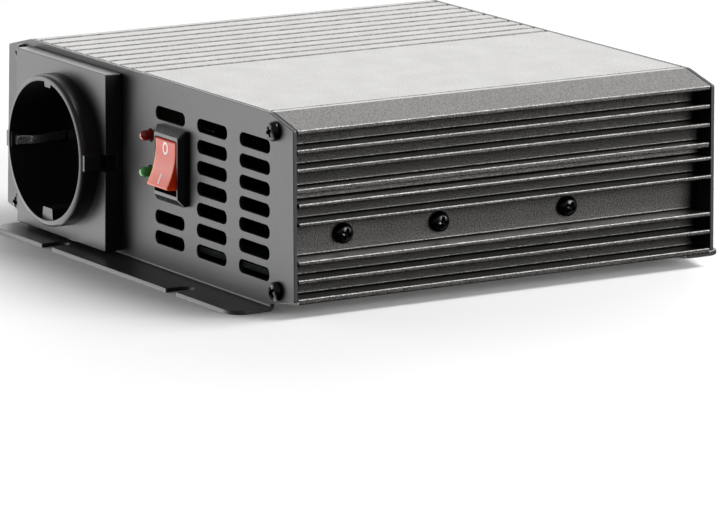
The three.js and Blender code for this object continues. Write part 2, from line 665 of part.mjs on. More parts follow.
function addSwitch() {
  const { x, z } = SWITCH;
  const { slopeIn } = BEZEL;
  const bezelShape = roundedRectangle(x, z, BEZEL.width - 2 * slopeIn, BEZEL.height - 2 * slopeIn, 0.6);
  const bezelGeometry = new THREE.ExtrudeGeometry(bezelShape, {
    depth: BEZEL.wall - GAP,
    bevelEnabled: true,
    bevelThickness: BEZEL.proud - BEZEL.wall,
    bevelSize: slopeIn,
    bevelSegments: 1,
    curveSegments: 2,
  });
  bezelGeometry.rotateX(Math.PI / 2).translate(0, FRONT - GAP, 0);
  const halfWidth = SWITCH_BODY.width / 2;
  const halfHeight = SWITCH_BODY.height / 2;
  const bezelFront = FRONT - BEZEL.proud;
  const infront = box([x - 20, bezelFront, z - 20], [x + 20, FRONT - GAP, z + 20]);
  const bezel = solidOf(bezelGeometry).intersect(infront);
  const shell = box(
    [x - halfWidth, bezelFront + 1, z - halfHeight],
    [x + halfWidth, FRONT + SWITCH_BODY.depth, z + halfHeight],
  );
  const window = box(
    [x - SWITCH_WINDOW.width / 2, bezelFront - 1, z - SWITCH_WINDOW.height / 2],
    [x + SWITCH_WINDOW.width / 2, FRONT + SWITCH_WINDOW.depth, z + SWITCH_WINDOW.height / 2],
  );
  const pinHole = alongX(circle(FRONT, z, ROCKER_PIN_RADIUS + GAP), x - 6.3, 12.6);
  const housing = bezel.add(shell).subtract(window).subtract(pinHole);
  addPiece("switch_housing", housing, finishes.blackPlastic);
  for (const [name, side] of [["upper", 1], ["lower", -1]]) {
    const tabZ = z + side * 5;
    const start = FRONT + SWITCH_BODY.depth + GAP;
    addPiece(`switch_terminal_${name}`, box([x - 2.4, start, tabZ - 0.4], [x + 2.4, start + 8, tabZ + 0.4]),
      finishes.brass);
  }
}

/** The rocker: hollow-faced bar on a cross pin, tipped so that its lower half stands out. */
function addRocker() {
  const { halfLength, halfWidth, lip, hollow, root } = ROCKER;
  const profile = new THREE.Shape();
  profile.moveTo(-lip, -halfLength);
  profile.quadraticCurveTo(-lip + 2 * hollow, 0, -lip, halfLength);
  profile.lineTo(-lip + 0.9, halfLength + 0.1);
  profile.lineTo(root * 0.4, halfLength - 0.5);
  profile.lineTo(root, halfLength - 3.5);
  profile.lineTo(root, -halfLength + 3.5);
  profile.lineTo(root * 0.4, -halfLength + 0.5);
  profile.lineTo(-lip + 0.9, -halfLength - 0.1);
  const pinHalf = SWITCH_WINDOW.width / 2 + 0.35;
  const pin = alongX(circle(0, 0, ROCKER_PIN_RADIUS), -pinHalf, 2 * pinHalf);
  const rocker = alongX(profile, -halfWidth, 2 * halfWidth, 10).add(pin);
  addPieceAt("switch_rocker", rocker, finishes.rockerRed, [SWITCH.x, FRONT, SWITCH.z],
    [radians(-ROCKER_TILT), 0, 0]);
}

function addLamps() {
  const rim = { radius: 1.95, start: SHEET + GAP, end: SHEET + GAP + 1 };
  const body = [
    [0, -LAMP_REACH], [0.8, 0.2 - LAMP_REACH], [1.3, 0.75 - LAMP_REACH],
    [LAMP_RADIUS, LAMP_RADIUS - LAMP_REACH], [LAMP_RADIUS, rim.start],
    [rim.radius, rim.start], [rim.radius, rim.end], [LAMP_RADIUS, rim.end], [LAMP_RADIUS, 5.5], [0, 5.5],
  ];
  const lamp = turnedOnY(body, 0, 0, 12);
  addPieceAt("led_red", lamp, finishes.lampRed, [LAMP_X, FRONT, LAMP_RED_Z]);
  addPieceAt("led_green", lamp, finishes.lampGreen, [LAMP_X, FRONT, LAMP_GREEN_Z]);
}

// ---- fan ----------------------------------------------------------------------------------

function addFan() {
  const { x, z, size, bore } = FAN;
  const frameShape = roundedRectangle(0, 0, size, size, 3);
  frameShape.holes.push(circle(0, 0, bore, 36));
  frameShape.holes.push(...fanScrewPlaces().map(([sx, sz]) => circle(sx - x, sz - z, FAN_SCREW.shank + GAP)));
  let frame = alongY(frameShape, 0, FAN.depth, 8);
  frame = frame.add(turnedOnY(bar(FAN_HUB_RADIUS + 0.5, 0, FAN_SPIDER_DEPTH), 0, 0, 24));
  for (const angle of [90, 210, 330]) {
    const strut = new THREE.BoxGeometry(bore - 5, FAN_SPIDER_DEPTH, 2.4);
    strut.translate((bore - 5) / 2 + 6, FAN_SPIDER_DEPTH / 2, 0).rotateY(radians(angle));
    frame = frame.add(solidOf(strut));
  }
  frame = frame.add(turnedOnY(ring(1.4, 3, FAN_SPIDER_DEPTH - 0.5, 6), 0, 0, 16));
  addPieceAt("fan_frame", frame, finishes.blackPlastic, [x, FAN_FRONT, z]);

  const hubFront = FAN_SPIDER_DEPTH + GAP;
  const hubRear = FAN.depth - 0.6;
  const hubProfile = [
    [0, hubFront + 1], [0.9, hubFront + 1], [0.9, hubRear - 1.4], [FAN_HUB_RADIUS - 1.2, hubRear - 1.4],
    [FAN_HUB_RADIUS - 1.2, hubFront], [FAN_HUB_RADIUS, hubFront], [FAN_HUB_RADIUS, hubRear], [0, hubRear],
  ];
  let rotor = turnedOnY(hubProfile, 0, 0, 28);
  for (let i = 0; i < FAN_BLADES; i += 1) {
    const blade = new THREE.BoxGeometry(11.1, 8, 0.9);
    blade.rotateX(radians(42)).translate(7.4 + 5.55, (hubFront + hubRear) / 2, 0);
    blade.rotateY((i * 2 * Math.PI) / FAN_BLADES);
    rotor = rotor.add(solidOf(blade));
  }
  addPieceAt("fan_rotor", rotor, finishes.blackPlastic, [x, FAN_FRONT, z]);
}

// ---- battery terminals --------------------------------------------------------------------

/** A knob outline with shallow finger grooves round it, and the hole for the stud. */
function knobOutline() {
  const points = [];
  const count = 36;
  for (let i = 0; i < count; i += 1) {
    const angle = (i * 2 * Math.PI) / count;
    const radius = KNOB_RADIUS - 0.35 * (1 + Math.cos(12 * angle));
    points.push([radius * Math.cos(angle), radius * Math.sin(angle)]);
  }
  return outline(points, [circle(0, 0, TERMINAL_BORE, 16)]);
}

function addTerminals() {
  const neck = 4.6;
  const baseInner = REAR - SHEET - 1.2;
  const baseOuter = REAR + GAP + TERMINAL_BASE_THICKNESS;
  const base = turnedOnY([
    [TERMINAL_BORE, baseInner], [neck, baseInner], [neck, REAR + GAP], [7.6, REAR + GAP],
    [7.6, baseOuter - 0.5], [7.1, baseOuter], [TERMINAL_BORE, baseOuter], [TERMINAL_BORE, baseInner],
  ], 0, 0, 20);
  const studHead = baseInner - GAP;
  const stud = turnedOnY([
    [0, studHead - 6], [STUD_RADIUS, studHead - 6], [STUD_RADIUS, studHead - 3], [4.4, studHead - 3],
    [4.4, studHead], [STUD_RADIUS, studHead], [STUD_RADIUS, REAR + 11.4], [STUD_RADIUS - 0.5, REAR + 11.9],
    [0, REAR + 11.9],
  ], 0, 0, 14);
  const washerStart = baseOuter + GAP;
  const washer = turnedOnY(ring(TERMINAL_BORE, 5.4, washerStart, washerStart + WASHER_THICKNESS), 0, 0, 18);
  const knobStart = washerStart + WASHER_THICKNESS + GAP;
  const knob = alongY(knobOutline(), knobStart, KNOB_LENGTH, 5);
  const plastics = { black: finishes.blackPlastic, red: finishes.rockerRed };
  for (const [color, x] of Object.entries(TERMINALS)) {
    const place = [x, 0, TERMINAL_Z];
    addPieceAt(`terminal_base_${color}`, base, plastics[color], place);
    addPieceAt(`terminal_stud_${color}`, stud, finishes.brass, place);
    addPieceAt(`terminal_washer_${color}`, washer, finishes.steel, place);
    addPieceAt(`terminal_knob_${color}`, knob, plastics[color], place);
  }
}

// ---- circuit ------------------------------------------------------------------------------

/** The board fills the floor, cut out at its front left corner to clear the socket's back. */
function addBoard() {
  const cutLeft = SOCKET.x - COVER_RADIUS - 2;
  const cutRight = SOCKET.x + COVER_RADIUS + 2;
  const cutRear = CUP_BACK + COVER_DEPTH + 2;
  const shape = outline([
    [-BOARD_HALF_WIDTH, BOARD_FRONT], [cutLeft, BOARD_FRONT], [cutLeft, cutRear], [cutRight, cutRear],
    [cutRight, BOARD_FRONT], [BOARD_HALF_WIDTH, BOARD_FRONT], [BOARD_HALF_WIDTH, BOARD_REAR],
    [-BOARD_HALF_WIDTH, BOARD_REAR],
  ]);
  addPiece("main_board", alongZ(shape, BOARD_BOTTOM_Z, BOARD_THICKNESS), finishes.board);
}

/** A ferrite core of two E halves round a wound bobbin: the winding circles the middle leg. */
function addTransformer() {
  const place = { x: 4, y: 4 };
  const core = { width: 42, height: 32, depth: 14, leg: 12, windowWidth: 9, windowHeight: 22 };
  const middleZ = SEAT_Z + core.height / 2;
  const windows = [-1, 1].map((side) => {
    const centre = place.x + side * (core.leg / 2 + core.windowWidth / 2);
    return roundedRectangle(centre, middleZ, core.windowWidth, core.windowHeight, 0.5);
  });
  const coreShape = roundedRectangle(place.x, middleZ, core.width, core.height, 1);
  coreShape.holes.push(...windows);
  addPiece("transformer_core", alongY(coreShape, place.y - core.depth / 2, core.depth, 1), finishes.ferrite);
  const windingShape = roundedRectangle(place.x, place.y, core.leg + 16.8, core.depth + 16.8, 5);
  windingShape.holes.push(roundedRectangle(place.x, place.y, core.leg + 1, core.depth + 1, 0.4));
  const height = core.windowHeight - 1;
  const winding = alongZ(windingShape, middleZ - height / 2, height, 2);
  addPiece("transformer_winding", winding, finishes.copperWinding);
}

/** A round can with a pinched neck near its foot, standing on the board. */
function addCapacitor(name, x, y, radius, height) {
  const profile = [
    [0, 0], [radius, 0], [radius, 2.2], [radius * 0.93, 3], [radius, 3.8],
    [radius, height - 0.8], [radius - 0.8, height], [0, height],
  ];
  addPieceAt(name, turnedOnZ(profile, 0, 0, 16), finishes.sleeveBlue, [x, y, SEAT_Z]);
}

/** A power transistor against the side wall: tab, moulded body and three legs, screwed through its tab. */
function powerTransistor() {
  const tabTop = SIDE_SCREW_Z + 2.8;
  const bodyTop = SIDE_SCREW_Z - 3.4;
  const bodyBottom = 9.3;
  const tabHoles = [circle(0, SIDE_SCREW_Z, SIDE_SCREW.shank + GAP)];
  const tabShape = outline([[-5, bodyBottom], [5, bodyBottom], [5, tabTop], [-5, tabTop]], tabHoles);
  const tab = alongX(tabShape, -1.3, 1.3);
  const body = box([-4.5, -5, bodyBottom], [-1, 5, bodyTop]);
  const legs = [-2.54, 0, 2.54].map((y) => box([-3.2, y - 0.4, SEAT_Z], [-2.6, y + 0.4, bodyBottom + 1]));
  return joined([tab, body, ...legs]);
}

function addTransistors() {
  const transistor = powerTransistor();
  const back = WALL_INNER_HALF - GAP;
  SIDE_SCREW_Y.forEach((y, i) => {
    const turnedRound = [0, 0, Math.PI];
    addPieceAt(`power_transistor_right_${i + 1}`, transistor, finishes.ferrite, [back, y, 0]);
    addPieceAt(`power_transistor_left_${i + 1}`, transistor, finishes.ferrite, [-back, y, 0], turnedRound);
  });
}

/** A blade fuse: a moulded head over two flat blades that stand on the board. */
function addFuse(name, x, y) {
  const head = box([x - 9.5, y - 2.5, SEAT_Z + 7], [x + 9.5, y + 2.5, SEAT_Z + 19]);
  const blades = [-6.8, 6.8].map((offset) =>
    box([x + offset - 2.6, y - 0.4, SEAT_Z], [x + offset + 2.6, y + 0.4, SEAT_Z + 8]));
  addPiece(name, joined([head, ...blades]), finishes.fuseYellow);
}

/** A battery lead inside the case: from its stud, forward and down to the board. */
function addBatteryLead(name, x, material) {
  const start = REAR - SHEET - 1.2 - GAP - 6 - GAP;
  const route = new THREE.CatmullRomCurve3([
    new THREE.Vector3(x, start, TERMINAL_Z),
    new THREE.Vector3(x, start - 4, TERMINAL_Z),
    new THREE.Vector3(x, start - 8, TERMINAL_Z - 3.5),
    new THREE.Vector3(x, start - 9.5, TERMINAL_Z - 9),
    new THREE.Vector3(x, start - 9.5, SEAT_Z),
  ]);
  const lead = new THREE.ExtrudeGeometry(circle(0, 0, LEAD_RADIUS, 8), { extrudePath: route, steps: 9 });
  addPiece(name, solidOf(lead), material);
}

// ---- build --------------------------------------------------------------------------------

addFrontPanel();
addRearPanel();
addTopShell();
addBottomShell();
addScrews();
addSocketBody();
addEarthStrap();
addSocketRear();
addSwitch();
addRocker();
addLamps();
addFan();
addTerminals();
addBoard();
addTransformer();
addCapacitor("output_capacitor", -38, 26, 11, 30);
addCapacitor("input_capacitor_1", -40, -8, 6.5, 26);
addCapacitor("input_capacitor_2", -40, -24, 6.5, 26);
addTransistors();
addFuse("fuse_1", 44, 8);
addFuse("fuse_2", 44, -6);
addBatteryLead("battery_lead_black", TERMINALS.black, finishes.leadBlack);
addBatteryLead("battery_lead_red", TERMINALS.red, finishes.leadRed);

export default inverter;
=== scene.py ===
import math

import bmesh
import bpy
import numpy as np
from mathutils import Matrix, Vector


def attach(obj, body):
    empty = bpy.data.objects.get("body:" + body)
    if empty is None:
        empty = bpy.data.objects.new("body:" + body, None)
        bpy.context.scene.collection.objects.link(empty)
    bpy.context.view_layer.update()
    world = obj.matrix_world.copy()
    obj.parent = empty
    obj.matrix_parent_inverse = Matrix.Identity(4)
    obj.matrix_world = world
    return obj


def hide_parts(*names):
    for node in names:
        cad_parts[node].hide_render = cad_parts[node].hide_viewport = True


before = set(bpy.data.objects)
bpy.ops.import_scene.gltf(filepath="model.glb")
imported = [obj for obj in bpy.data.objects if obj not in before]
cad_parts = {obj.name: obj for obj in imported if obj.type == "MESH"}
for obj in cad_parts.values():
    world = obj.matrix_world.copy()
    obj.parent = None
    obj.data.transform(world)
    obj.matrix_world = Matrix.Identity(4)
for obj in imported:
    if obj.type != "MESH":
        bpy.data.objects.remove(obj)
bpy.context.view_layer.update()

# Power inverter: a finned aluminium case between two bent steel panels.
# Shapes are worked out in millimetres in the frame of the part, and become metres in add_piece.

MM = 0.001

# ---- driving dimensions, as in the part ----

GAP = 0.3
FRONT = -68.5
REAR = 68.5
SHEET = 1.2
CASE_HEIGHT = 54
SHELL_START = FRONT + SHEET + GAP
SHELL_END = REAR - SHEET - GAP

PANEL_TOP_HALF = 76.7
PANEL_BOTTOM_HALF = 77.8
TOP_FLAT_HALF = 64.8
TOP_CORNER_Z = 50.9
BOTTOM_FLAT_HALF = 66
BOTTOM_CORNER_Z = 4.6
BEND_Z = 1.8
BEND_INNER_RADIUS = BEND_Z - SHEET
FLANGE_REACH = 12
FLANGE_CORNER_RADIUS = 5
FLANGE_SLOT_X = 34
FLANGE_SLOT_WIDTH = 5
FLANGE_SLOT_DEPTH = 7

WALL_INNER_HALF = 67.8
CEILING_Z = 51
FLOOR_OUTER_Z = 2.2
FLOOR_INNER_Z = 4.7
SHELL_JOINT_Z = 31.15
GROOVE_DEPTH = 6.2
CHANNEL_DEPTH = 7
# fins from the lowest up: height of the top edge, thickness, depth of the groove above
BOTTOM_FINS = [(5.35, 0, GROOVE_DEPTH), (10.55, 1.25, GROOVE_DEPTH), (15.55, 1.25, CHANNEL_DEPTH),
               (26, 1.1, GROOVE_DEPTH), (SHELL_JOINT_Z, 1.1, 0)]
TOP_FINS = [(35.05, 1.5, 4.3), (40.45, 1.25, GROOVE_DEPTH), (45.65, 1.25, GROOVE_DEPTH),
            (TOP_CORNER_Z, 1.25, 0)]
TOP_SHELL_FOOT_HALF = 72.7
TONGUE_INNER_HALF = 66
TONGUE_TOP_Z = 36
TONGUE_ROOT_Z = 29
FIN_EDGE_RADIUS = 0.3
FIN_ROOT_RADIUS = 0.55

TOP_GROOVES_X = [-4 - 6.4 * i for i in range(10)]
TOP_GROOVE_WIDTH = 1.8
TOP_GROOVE_DEPTH = 1.2
TOP_LINE_X = 62.6
TOP_LINE_WIDTH = 0.8
TOP_LINE_DEPTH = 0.5

PANEL_SCREW_TOP = (67.9, 49.5)
PANEL_SCREW_BOTTOM = (69.6, 6.3)
SCREW_CLEARANCE = 0.4
# head radius, height of the head, shank radius, length of the shank
PANEL_SCREW = (2.7, 1.9, 1.3, 9)
SIDE_SCREW = (2.9, 2.0, 1.5, 9)
FAN_SCREW = (2.6, 1.7, 1.4, 9)
GROUND_SCREW = (3.4, 2.4, 1.9, 9)
SIDE_SCREW_Y = [FRONT + 19.4, FRONT + 50.2, FRONT + 92]
SIDE_SCREW_Z = 20.5
SIDE_SCREW_SEAT = PANEL_BOTTOM_HALF - CHANNEL_DEPTH + GAP

SLOT_COLUMNS_X = [13.2, 35.3, 57.4]
SLOT_ROWS_Z = [44.6 - 5.8 * row for row in range(7)]
SLOT_SIZE = (15.5, 3.7)
SLOT_CORNER = 1.65
SWITCHED_ROWS = (1, 2, 3, 4)  # rows of the first column that give way to the switch

SOCKET_X, SOCKET_Z = -37.7, 27.4
FACEPLATE_SIZE = 50
FACEPLATE_CORNER = 0.5
FACEPLATE_EDGE = 0.25
NOTCH_DEPTH = 3.9
NOTCH_HALF = 2.3
KEY_REACH = 22.1
KEY_SIZE = (3, 4.6)
KEY_SETBACK = 0.4
COLLAR_EDGE = 1.3
MOUTH_EDGE = 0.15
# guide ribs inside the recess: side, half width, height
GUIDE_RIBS = [(1, 2.1, 1.8), (-1, 3.1, 3.4)]
RIB_TAPER = 0.6
RIB_SETBACK = 1.2
FACEPLATE_FRONT = FRONT - 5.4
COLLAR_FRONT = FRONT - 10.8
COLLAR_RADIUS = 21.5
CUP_RADIUS = 21.3
RECESS_RADIUS = 19.7
RECESS_FLOOR = COLLAR_FRONT + 17.5
CUP_BACK = RECESS_FLOOR + 2.5
PIN_SPACING = 19
PIN_HOLE_RADIUS = 2.75
STRAP_WIDTH = 2.6
STRAP_THICKNESS = 0.8
STRAP_OUTER_HALF = 18.4
STRAP_SETBACK = 1.3
STRAP_PINCH = 1.9

SWITCH_X, SWITCH_Z = 15.8, 31.4
BEZEL_SIZE = (15, 21)
BEZEL_FRONT = FRONT - 3
SWITCH_WINDOW = (11.6, 15.4)
BEZEL_RIM = (BEZEL_SIZE[0] - SWITCH_WINDOW[0]) / 2
BEZEL_RIM_UPRIGHT = (BEZEL_SIZE[1] - SWITCH_WINDOW[1]) / 2
SWITCH_BODY = (12.8, 19)
SWITCH_BACK = FRONT + 12
ROCKER_HALF_LENGTH = 6.65
ROCKER_HALF_WIDTH = 5.4
ROCKER_LIP = 4.7
ROCKER_HOLLOW = 1.1
ROCKER_ROOT = 3.2
ROCKER_EDGE = 0.35
ROCKER_PIN_RADIUS = 1.2
ROCKER_PIN_HALF = 6.15
ROCKER_REST_TILT = math.radians(-12)

LAMP_X = 2.6
LAMP_Z = {"red": 37.6, "green": 27.4}
LAMP_RADIUS = 1.5
LAMP_REACH = 3.4
LAMP_COLLAR_RADIUS = 1.95
LAMP_BACK = 5.5

FAN_X, FAN_Z = -38, 27.8
FAN_REAR = REAR - SHEET - GAP
FAN_HALF_SPACING = 16
GRILLE_RINGS = (5.5, 10, 14.5)
GRILLE_SLOT = 2.7
GRILLE_SPOKE_HALF = 1.5
TERMINAL_X = {"black": 14, "red": 46}
TERMINAL_Z = 27.4
TERMINAL_SEAT = REAR + GAP + 3
GROUND_X, GROUND_Z = 30, 11

# ---- outlines ----


def corner_rounded(corners, radii, steps=4):
    """A closed outline whose corners are arcs. Each arc touches both edges at radius / tan(half
    the corner's angle) from the corner, and its centre lies on the corner's bisector."""
    corners = np.asarray(corners, float)
    radii = np.broadcast_to(np.asarray(radii, float), len(corners))
    to_last = np.roll(corners, 1, axis=0) - corners
    to_next = np.roll(corners, -1, axis=0) - corners
    last_length = np.linalg.norm(to_last, axis=1)
    next_length = np.linalg.norm(to_next, axis=1)
    to_last /= last_length[:, None]
    to_next /= next_length[:, None]
    half = np.arccos(np.clip((to_last * to_next).sum(axis=1), -1, 1)) / 2
    reach = np.minimum(radii / np.tan(half), 0.49 * np.minimum(last_length, next_length))
    radii = reach * np.tan(half)
    bisector = to_last + to_next
    bisector /= np.linalg.norm(bisector, axis=1)[:, None]
    centre = corners + bisector * (radii / np.sin(half))[:, None]
    start = corners + to_last * reach[:, None] - centre
    end = corners + to_next * reach[:, None] - centre
    first = np.arctan2(start[:, 1], start[:, 0])
    sweep = np.arctan2(end[:, 1], end[:, 0]) - first
    sweep = (sweep + np.pi) % (2 * np.pi) - np.pi
    angle = first[:, None] + sweep[:, None] * np.linspace(0, 1, steps + 1)
    arcs = centre[:, None] + radii[:, None, None] * np.stack([np.cos(angle), np.sin(angle)], axis=-1)
    return arcs.reshape(-1, 2)


def rounded_rectangle(width, height, radius, centre=(0, 0), steps=5):
    half = np.array([width, height]) / 2
    corners = half * np.array([(-1, -1), (1, -1), (1, 1), (-1, 1)])
    return corner_rounded(corners, radius, steps) + centre


def circle(radius, centre=(0, 0), sides=48):
    angle = np.linspace(0, 2 * np.pi, sides, endpoint=False)
    return radius * np.stack([np.cos(angle), np.sin(angle)], axis=1) + centre


def mirrored(points):
    """The same [x, z] points on the other side of x = 0, in the order that continues an outline."""
    return [(-x, z) for x, z in reversed(points)]


# ---- surfaces ----


def grid_surface(points, wrap_rows=False, wrap_columns=False):
    """A grid of points [row, column, xyz] with a face between each four neighbours."""
    index = np.arange(points.shape[0] * points.shape[1]).reshape(points.shape[:2])
    if wrap_rows:
        index = np.vstack([index, index[:1]])
    if wrap_columns:
        index = np.hstack([index, index[:, :1]])
    faces = np.stack([index[:-1, :-1], index[1:, :-1], index[1:, 1:], index[:-1, 1:]], axis=-1)
    return points.reshape(-1, 3), faces.reshape(-1, 4).tolist()


def tube(loops, capped=True):
    """A tube through closed loops of points [station, point, xyz], with a flat face on each end."""
    points, faces = grid_surface(loops, wrap_columns=True)
    if capped:
        count = loops.shape[1]
        last = len(points) - count
        faces += [list(range(count)), list(range(last, last + count))]
    return points, faces


def along_y(outline, stations):
    """An [x, z] outline carried along Y through the stations."""
    stations = np.asarray(stations, float)
    loops = np.empty((len(stations), len(outline), 3))
    loops[..., 0] = outline[:, 0]
    loops[..., 1] = stations[:, None]
    loops[..., 2] = outline[:, 1]
    return tube(loops)


def drawn_in(edge, front, back, steps=4):
    """Stations from front to back, and how far an outline draws in at each: towards each end by
    edge * (1 - sin a) at a depth of edge * (1 - cos a), for a from 0 to a quarter turn."""
    angle = np.linspace(0, np.pi / 2, steps + 1)
    inset = edge * (1 - np.sin(angle))
    depth = edge * (1 - np.cos(angle))
    return np.concatenate([front + depth, (back - depth)[::-1]]), np.concatenate([inset, inset[::-1]])


def block_along_y(size, corner, edge, front, back, centre):
    """A rounded rectangle carried from front to back, with its ends drawn in."""
    loops = []
    for station, inset in zip(*drawn_in(edge, front, back)):
        width, height = (side - 2 * inset for side in size)
        outline = rounded_rectangle(width, height, max(corner - inset, 0.05), centre)
        loops.append(np.insert(outline, 1, station, axis=1))
    return tube(np.stack(loops))


def turned(profile, x=0, z=0, sides=48, closed=False):
    """A profile of [radius, y] points turned about the Y axis through x, z."""
    profile = np.asarray(profile, float)
    angle = np.linspace(0, 2 * np.pi, sides, endpoint=False)
    points = np.empty((len(profile), sides, 3))
    points[..., 0] = x + profile[:, :1] * np.cos(angle)
    points[..., 1] = profile[:, 1:]
    points[..., 2] = z + profile[:, :1] * np.sin(angle)
    return grid_surface(points, wrap_rows=closed, wrap_columns=True)


def mesh_points(mesh):
    points = np.empty(len(mesh.vertices) * 3)
    mesh.vertices.foreach_get("co", points)
    return points.reshape(-1, 3)


def plate(outlines, thickness, edge_radius, edge_steps=2):
    """A flat plate: the first outline filled, less the others, with every edge rounded.
    It lies in X and Z with its front face at y = 0 and its back at y = thickness."""
    curve = bpy.data.curves.new("plate", "CURVE")
    curve.dimensions = "2D"
    curve.fill_mode = "BOTH"
    curve.extrude = thickness / 2 - edge_radius
    curve.bevel_depth = edge_radius
    curve.bevel_resolution = edge_steps
    curve.offset = -edge_radius
    for points in outlines:
        spline = curve.splines.new("POLY")
        spline.points.add(len(points) - 1)
        flat = np.column_stack([points, np.zeros(len(points)), np.ones(len(points))])
        spline.points.foreach_set("co", flat.ravel())
        spline.use_cyclic_u = True
    drawn = bpy.data.objects.new("plate", curve)
    mesh = bpy.data.meshes.new_from_object(drawn)
    x, z, depth = mesh_points(mesh).T
    points = np.column_stack([x, thickness / 2 - depth, z])
    faces = [list(polygon.vertices) for polygon in mesh.polygons]
    bpy.data.objects.remove(drawn)
    bpy.data.curves.remove(curve)
    bpy.data.meshes.remove(mesh)
    return points, faces


def moved(surface, offset=(0, 0, 0), turn=None):
    """The surface turned by a 3 x 3 matrix and then moved."""
    points, faces = surface
    if turn is not None:
        points = points @ np.asarray(turn).T
    return points + np.asarray(offset, float), faces


def turn_about(axis, angle):
    return np.array(Matrix.Rotation(angle, 3, axis))


def joined(surfaces):
    """Several surfaces as one list of points and one of faces."""
    all_points, all_faces, count = [], [], 0
    for points, faces in surfaces:
        all_points.append(points)
        all_faces += [[i + count for i in face] for face in faces]
        count += len(points)
    return np.vstack(all_points), all_faces


def closed_mesh(name, surface, cuts=()):
    """A mesh in metres with doubled points merged and faces outwards. Each cut is a height in
    millimetres where the flat sheet gets a row of points, so that it can bend there."""
    points, faces = surface
    mesh = bpy.data.meshes.new(name)
    mesh.from_pydata((points * MM).tolist(), [], faces)
    work = bmesh.new()
    work.from_mesh(mesh)
    bmesh.ops.remove_doubles(work, verts=work.verts, dist=2e-6)
    for height in cuts:
        everything = [*work.verts, *work.edges, *work.faces]
        bmesh.ops.bisect_plane(work, geom=everything, dist=1e-7, plane_co=(0, 0, height * MM),
                               plane_no=(0, 0, 1))
    bmesh.ops.dissolve_degenerate(work, edges=work.edges, dist=1e-7)
    bmesh.ops.recalc_face_normals(work, faces=work.faces)
    work.to_mesh(mesh)
    work.free()
    return mesh


def new_object(name, data):
    made = bpy.data.objects.new(name, data)
    bpy.context.scene.collection.objects.link(made)
    return made


def add_piece(name, surfaces, material, body="case", smooth_below=32, mesh=None, nodes=None):
    """One finished piece: it rides on its body and stands for the CAD node of its own name, unless
    other nodes are given."""
    if mesh is None:
        mesh = closed_mesh(name, joined(surfaces))
    mesh.name = name
    mesh.shade_smooth()
    mesh.set_sharp_from_angle(angle=math.radians(smooth_below))
    mesh.materials.append(material)
    piece = new_object(name, mesh)
    weighted = piece.modifiers.new("even_shading", "WEIGHTED_NORMAL")
    weighted.keep_sharp = True
    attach(piece, body)
    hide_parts(*([name] if nodes is None else nodes))
    return piece


# ---- finishes ----


def start_finish(name, color, roughness, **sockets):
    """A material with its Principled shader. Named sockets are set on the shader itself."""
    material = bpy.data.materials.new(name)
    material.use_nodes = True
    tree = material.node_tree
    shader = tree.nodes["Principled BSDF"]
    shader.inputs["Base Color"].default_value = (*color, 1)
    shader.inputs["Roughness"].default_value = roughness
    for socket, value in sockets.items():
        label = socket.replace("_", " ").title().replace("Ior", "IOR")
        shader.inputs[label].default_value = value
    return material, tree, shader


def add_node(tree, kind, operation=None, **inputs):
    """A new shader node. Each named input is linked to a socket, or set to a number or a row."""
    node = tree.nodes.new("ShaderNode" + kind)
    if operation:
        node.operation = operation
    for name, value in inputs.items():
        socket = node.inputs[name.replace("_", " ").title()]
        if isinstance(value, bpy.types.NodeSocket):
            tree.links.new(value, socket)
        else:
            socket.default_value = value
    return node


def object_place(tree, stretch=(1, 1, 1)):
    """Object coordinates, multiplied by stretch."""
    place = add_node(tree, "TexCoord").outputs["Object"]
    return add_node(tree, "Mapping", vector=place, scale=stretch).outputs["Vector"]


def spread(tree, value, **limits):
    """The value carried from one range to another: from_min, from_max, to_min and to_max."""
    return add_node(tree, "MapRange", value=value, **limits).outputs["Result"]


def combined(tree, operation, first, second):
    """Two values joined by a sum, a product or a power. The second may be a plain number."""
    node = tree.nodes.new("ShaderNodeMath")
    node.operation = operation
    tree.links.new(first, node.inputs[0])
    if isinstance(second, float):
        node.inputs[1].default_value = second
    else:
        tree.links.new(second, node.inputs[1])
    return node.outputs["Value"]


def grain(tree, size, detail=3.0, stretch=(1, 1, 1), contrast=None):
    """Noise with features of about size millimetres. Contrast narrows its range to two values."""
    place = object_place(tree, stretch)
    noise = add_node(tree, "TexNoise", vector=place, scale=1 / (size * MM), detail=detail)
    if contrast:
        return spread(tree, noise.outputs["Fac"], from_min=contrast[0], from_max=contrast[1])
    return noise.outputs["Fac"]


def shade_colors(tree, shader, value, dark, light):
    """Base colour runs from dark to light as the value goes from 0 to 1."""
    ramp = add_node(tree, "ValToRGB", fac=value)
    ramp.color_ramp.elements[0].color = (*dark, 1)
    ramp.color_ramp.elements[1].color = (*light, 1)
    tree.links.new(ramp.outputs["Color"], shader.inputs["Base Color"])


def shade_roughness(tree, shader, value, low, high):
    """Roughness runs from low to high as the value goes from 0 to 1."""
    tree.links.new(spread(tree, value, to_min=low, to_max=high), shader.inputs["Roughness"])


def shade_relief(tree, shader, value, height):
    """Bump from a value: height is the relief's depth in millimetres. Calls stack up."""
    bump = add_node(tree, "Bump", height=value, distance=height * MM)
    normal = shader.inputs["Normal"]
    if normal.is_linked:
        tree.links.new(normal.links[0].from_socket, bump.inputs["Normal"])
    tree.links.new(bump.outputs["Normal"], normal)


def paint_crevice_shade(tree, shader, reach, depth):
    """Painted shade: the base colour darkened by the share of open air within reach millimetres, to the
    power depth.
    """
    open_air = add_node(tree, "AmbientOcclusion", distance=reach * MM)
    open_air.samples = 8
    open_air.only_local = True
    share = combined(tree, "POWER", open_air.outputs["AO"], depth)
    color = shader.inputs["Base Color"]
    darker = add_node(tree, "VectorMath", "SCALE", vector=color.links[0].from_socket, scale=share)
    tree.links.new(darker.outputs["Vector"], color)


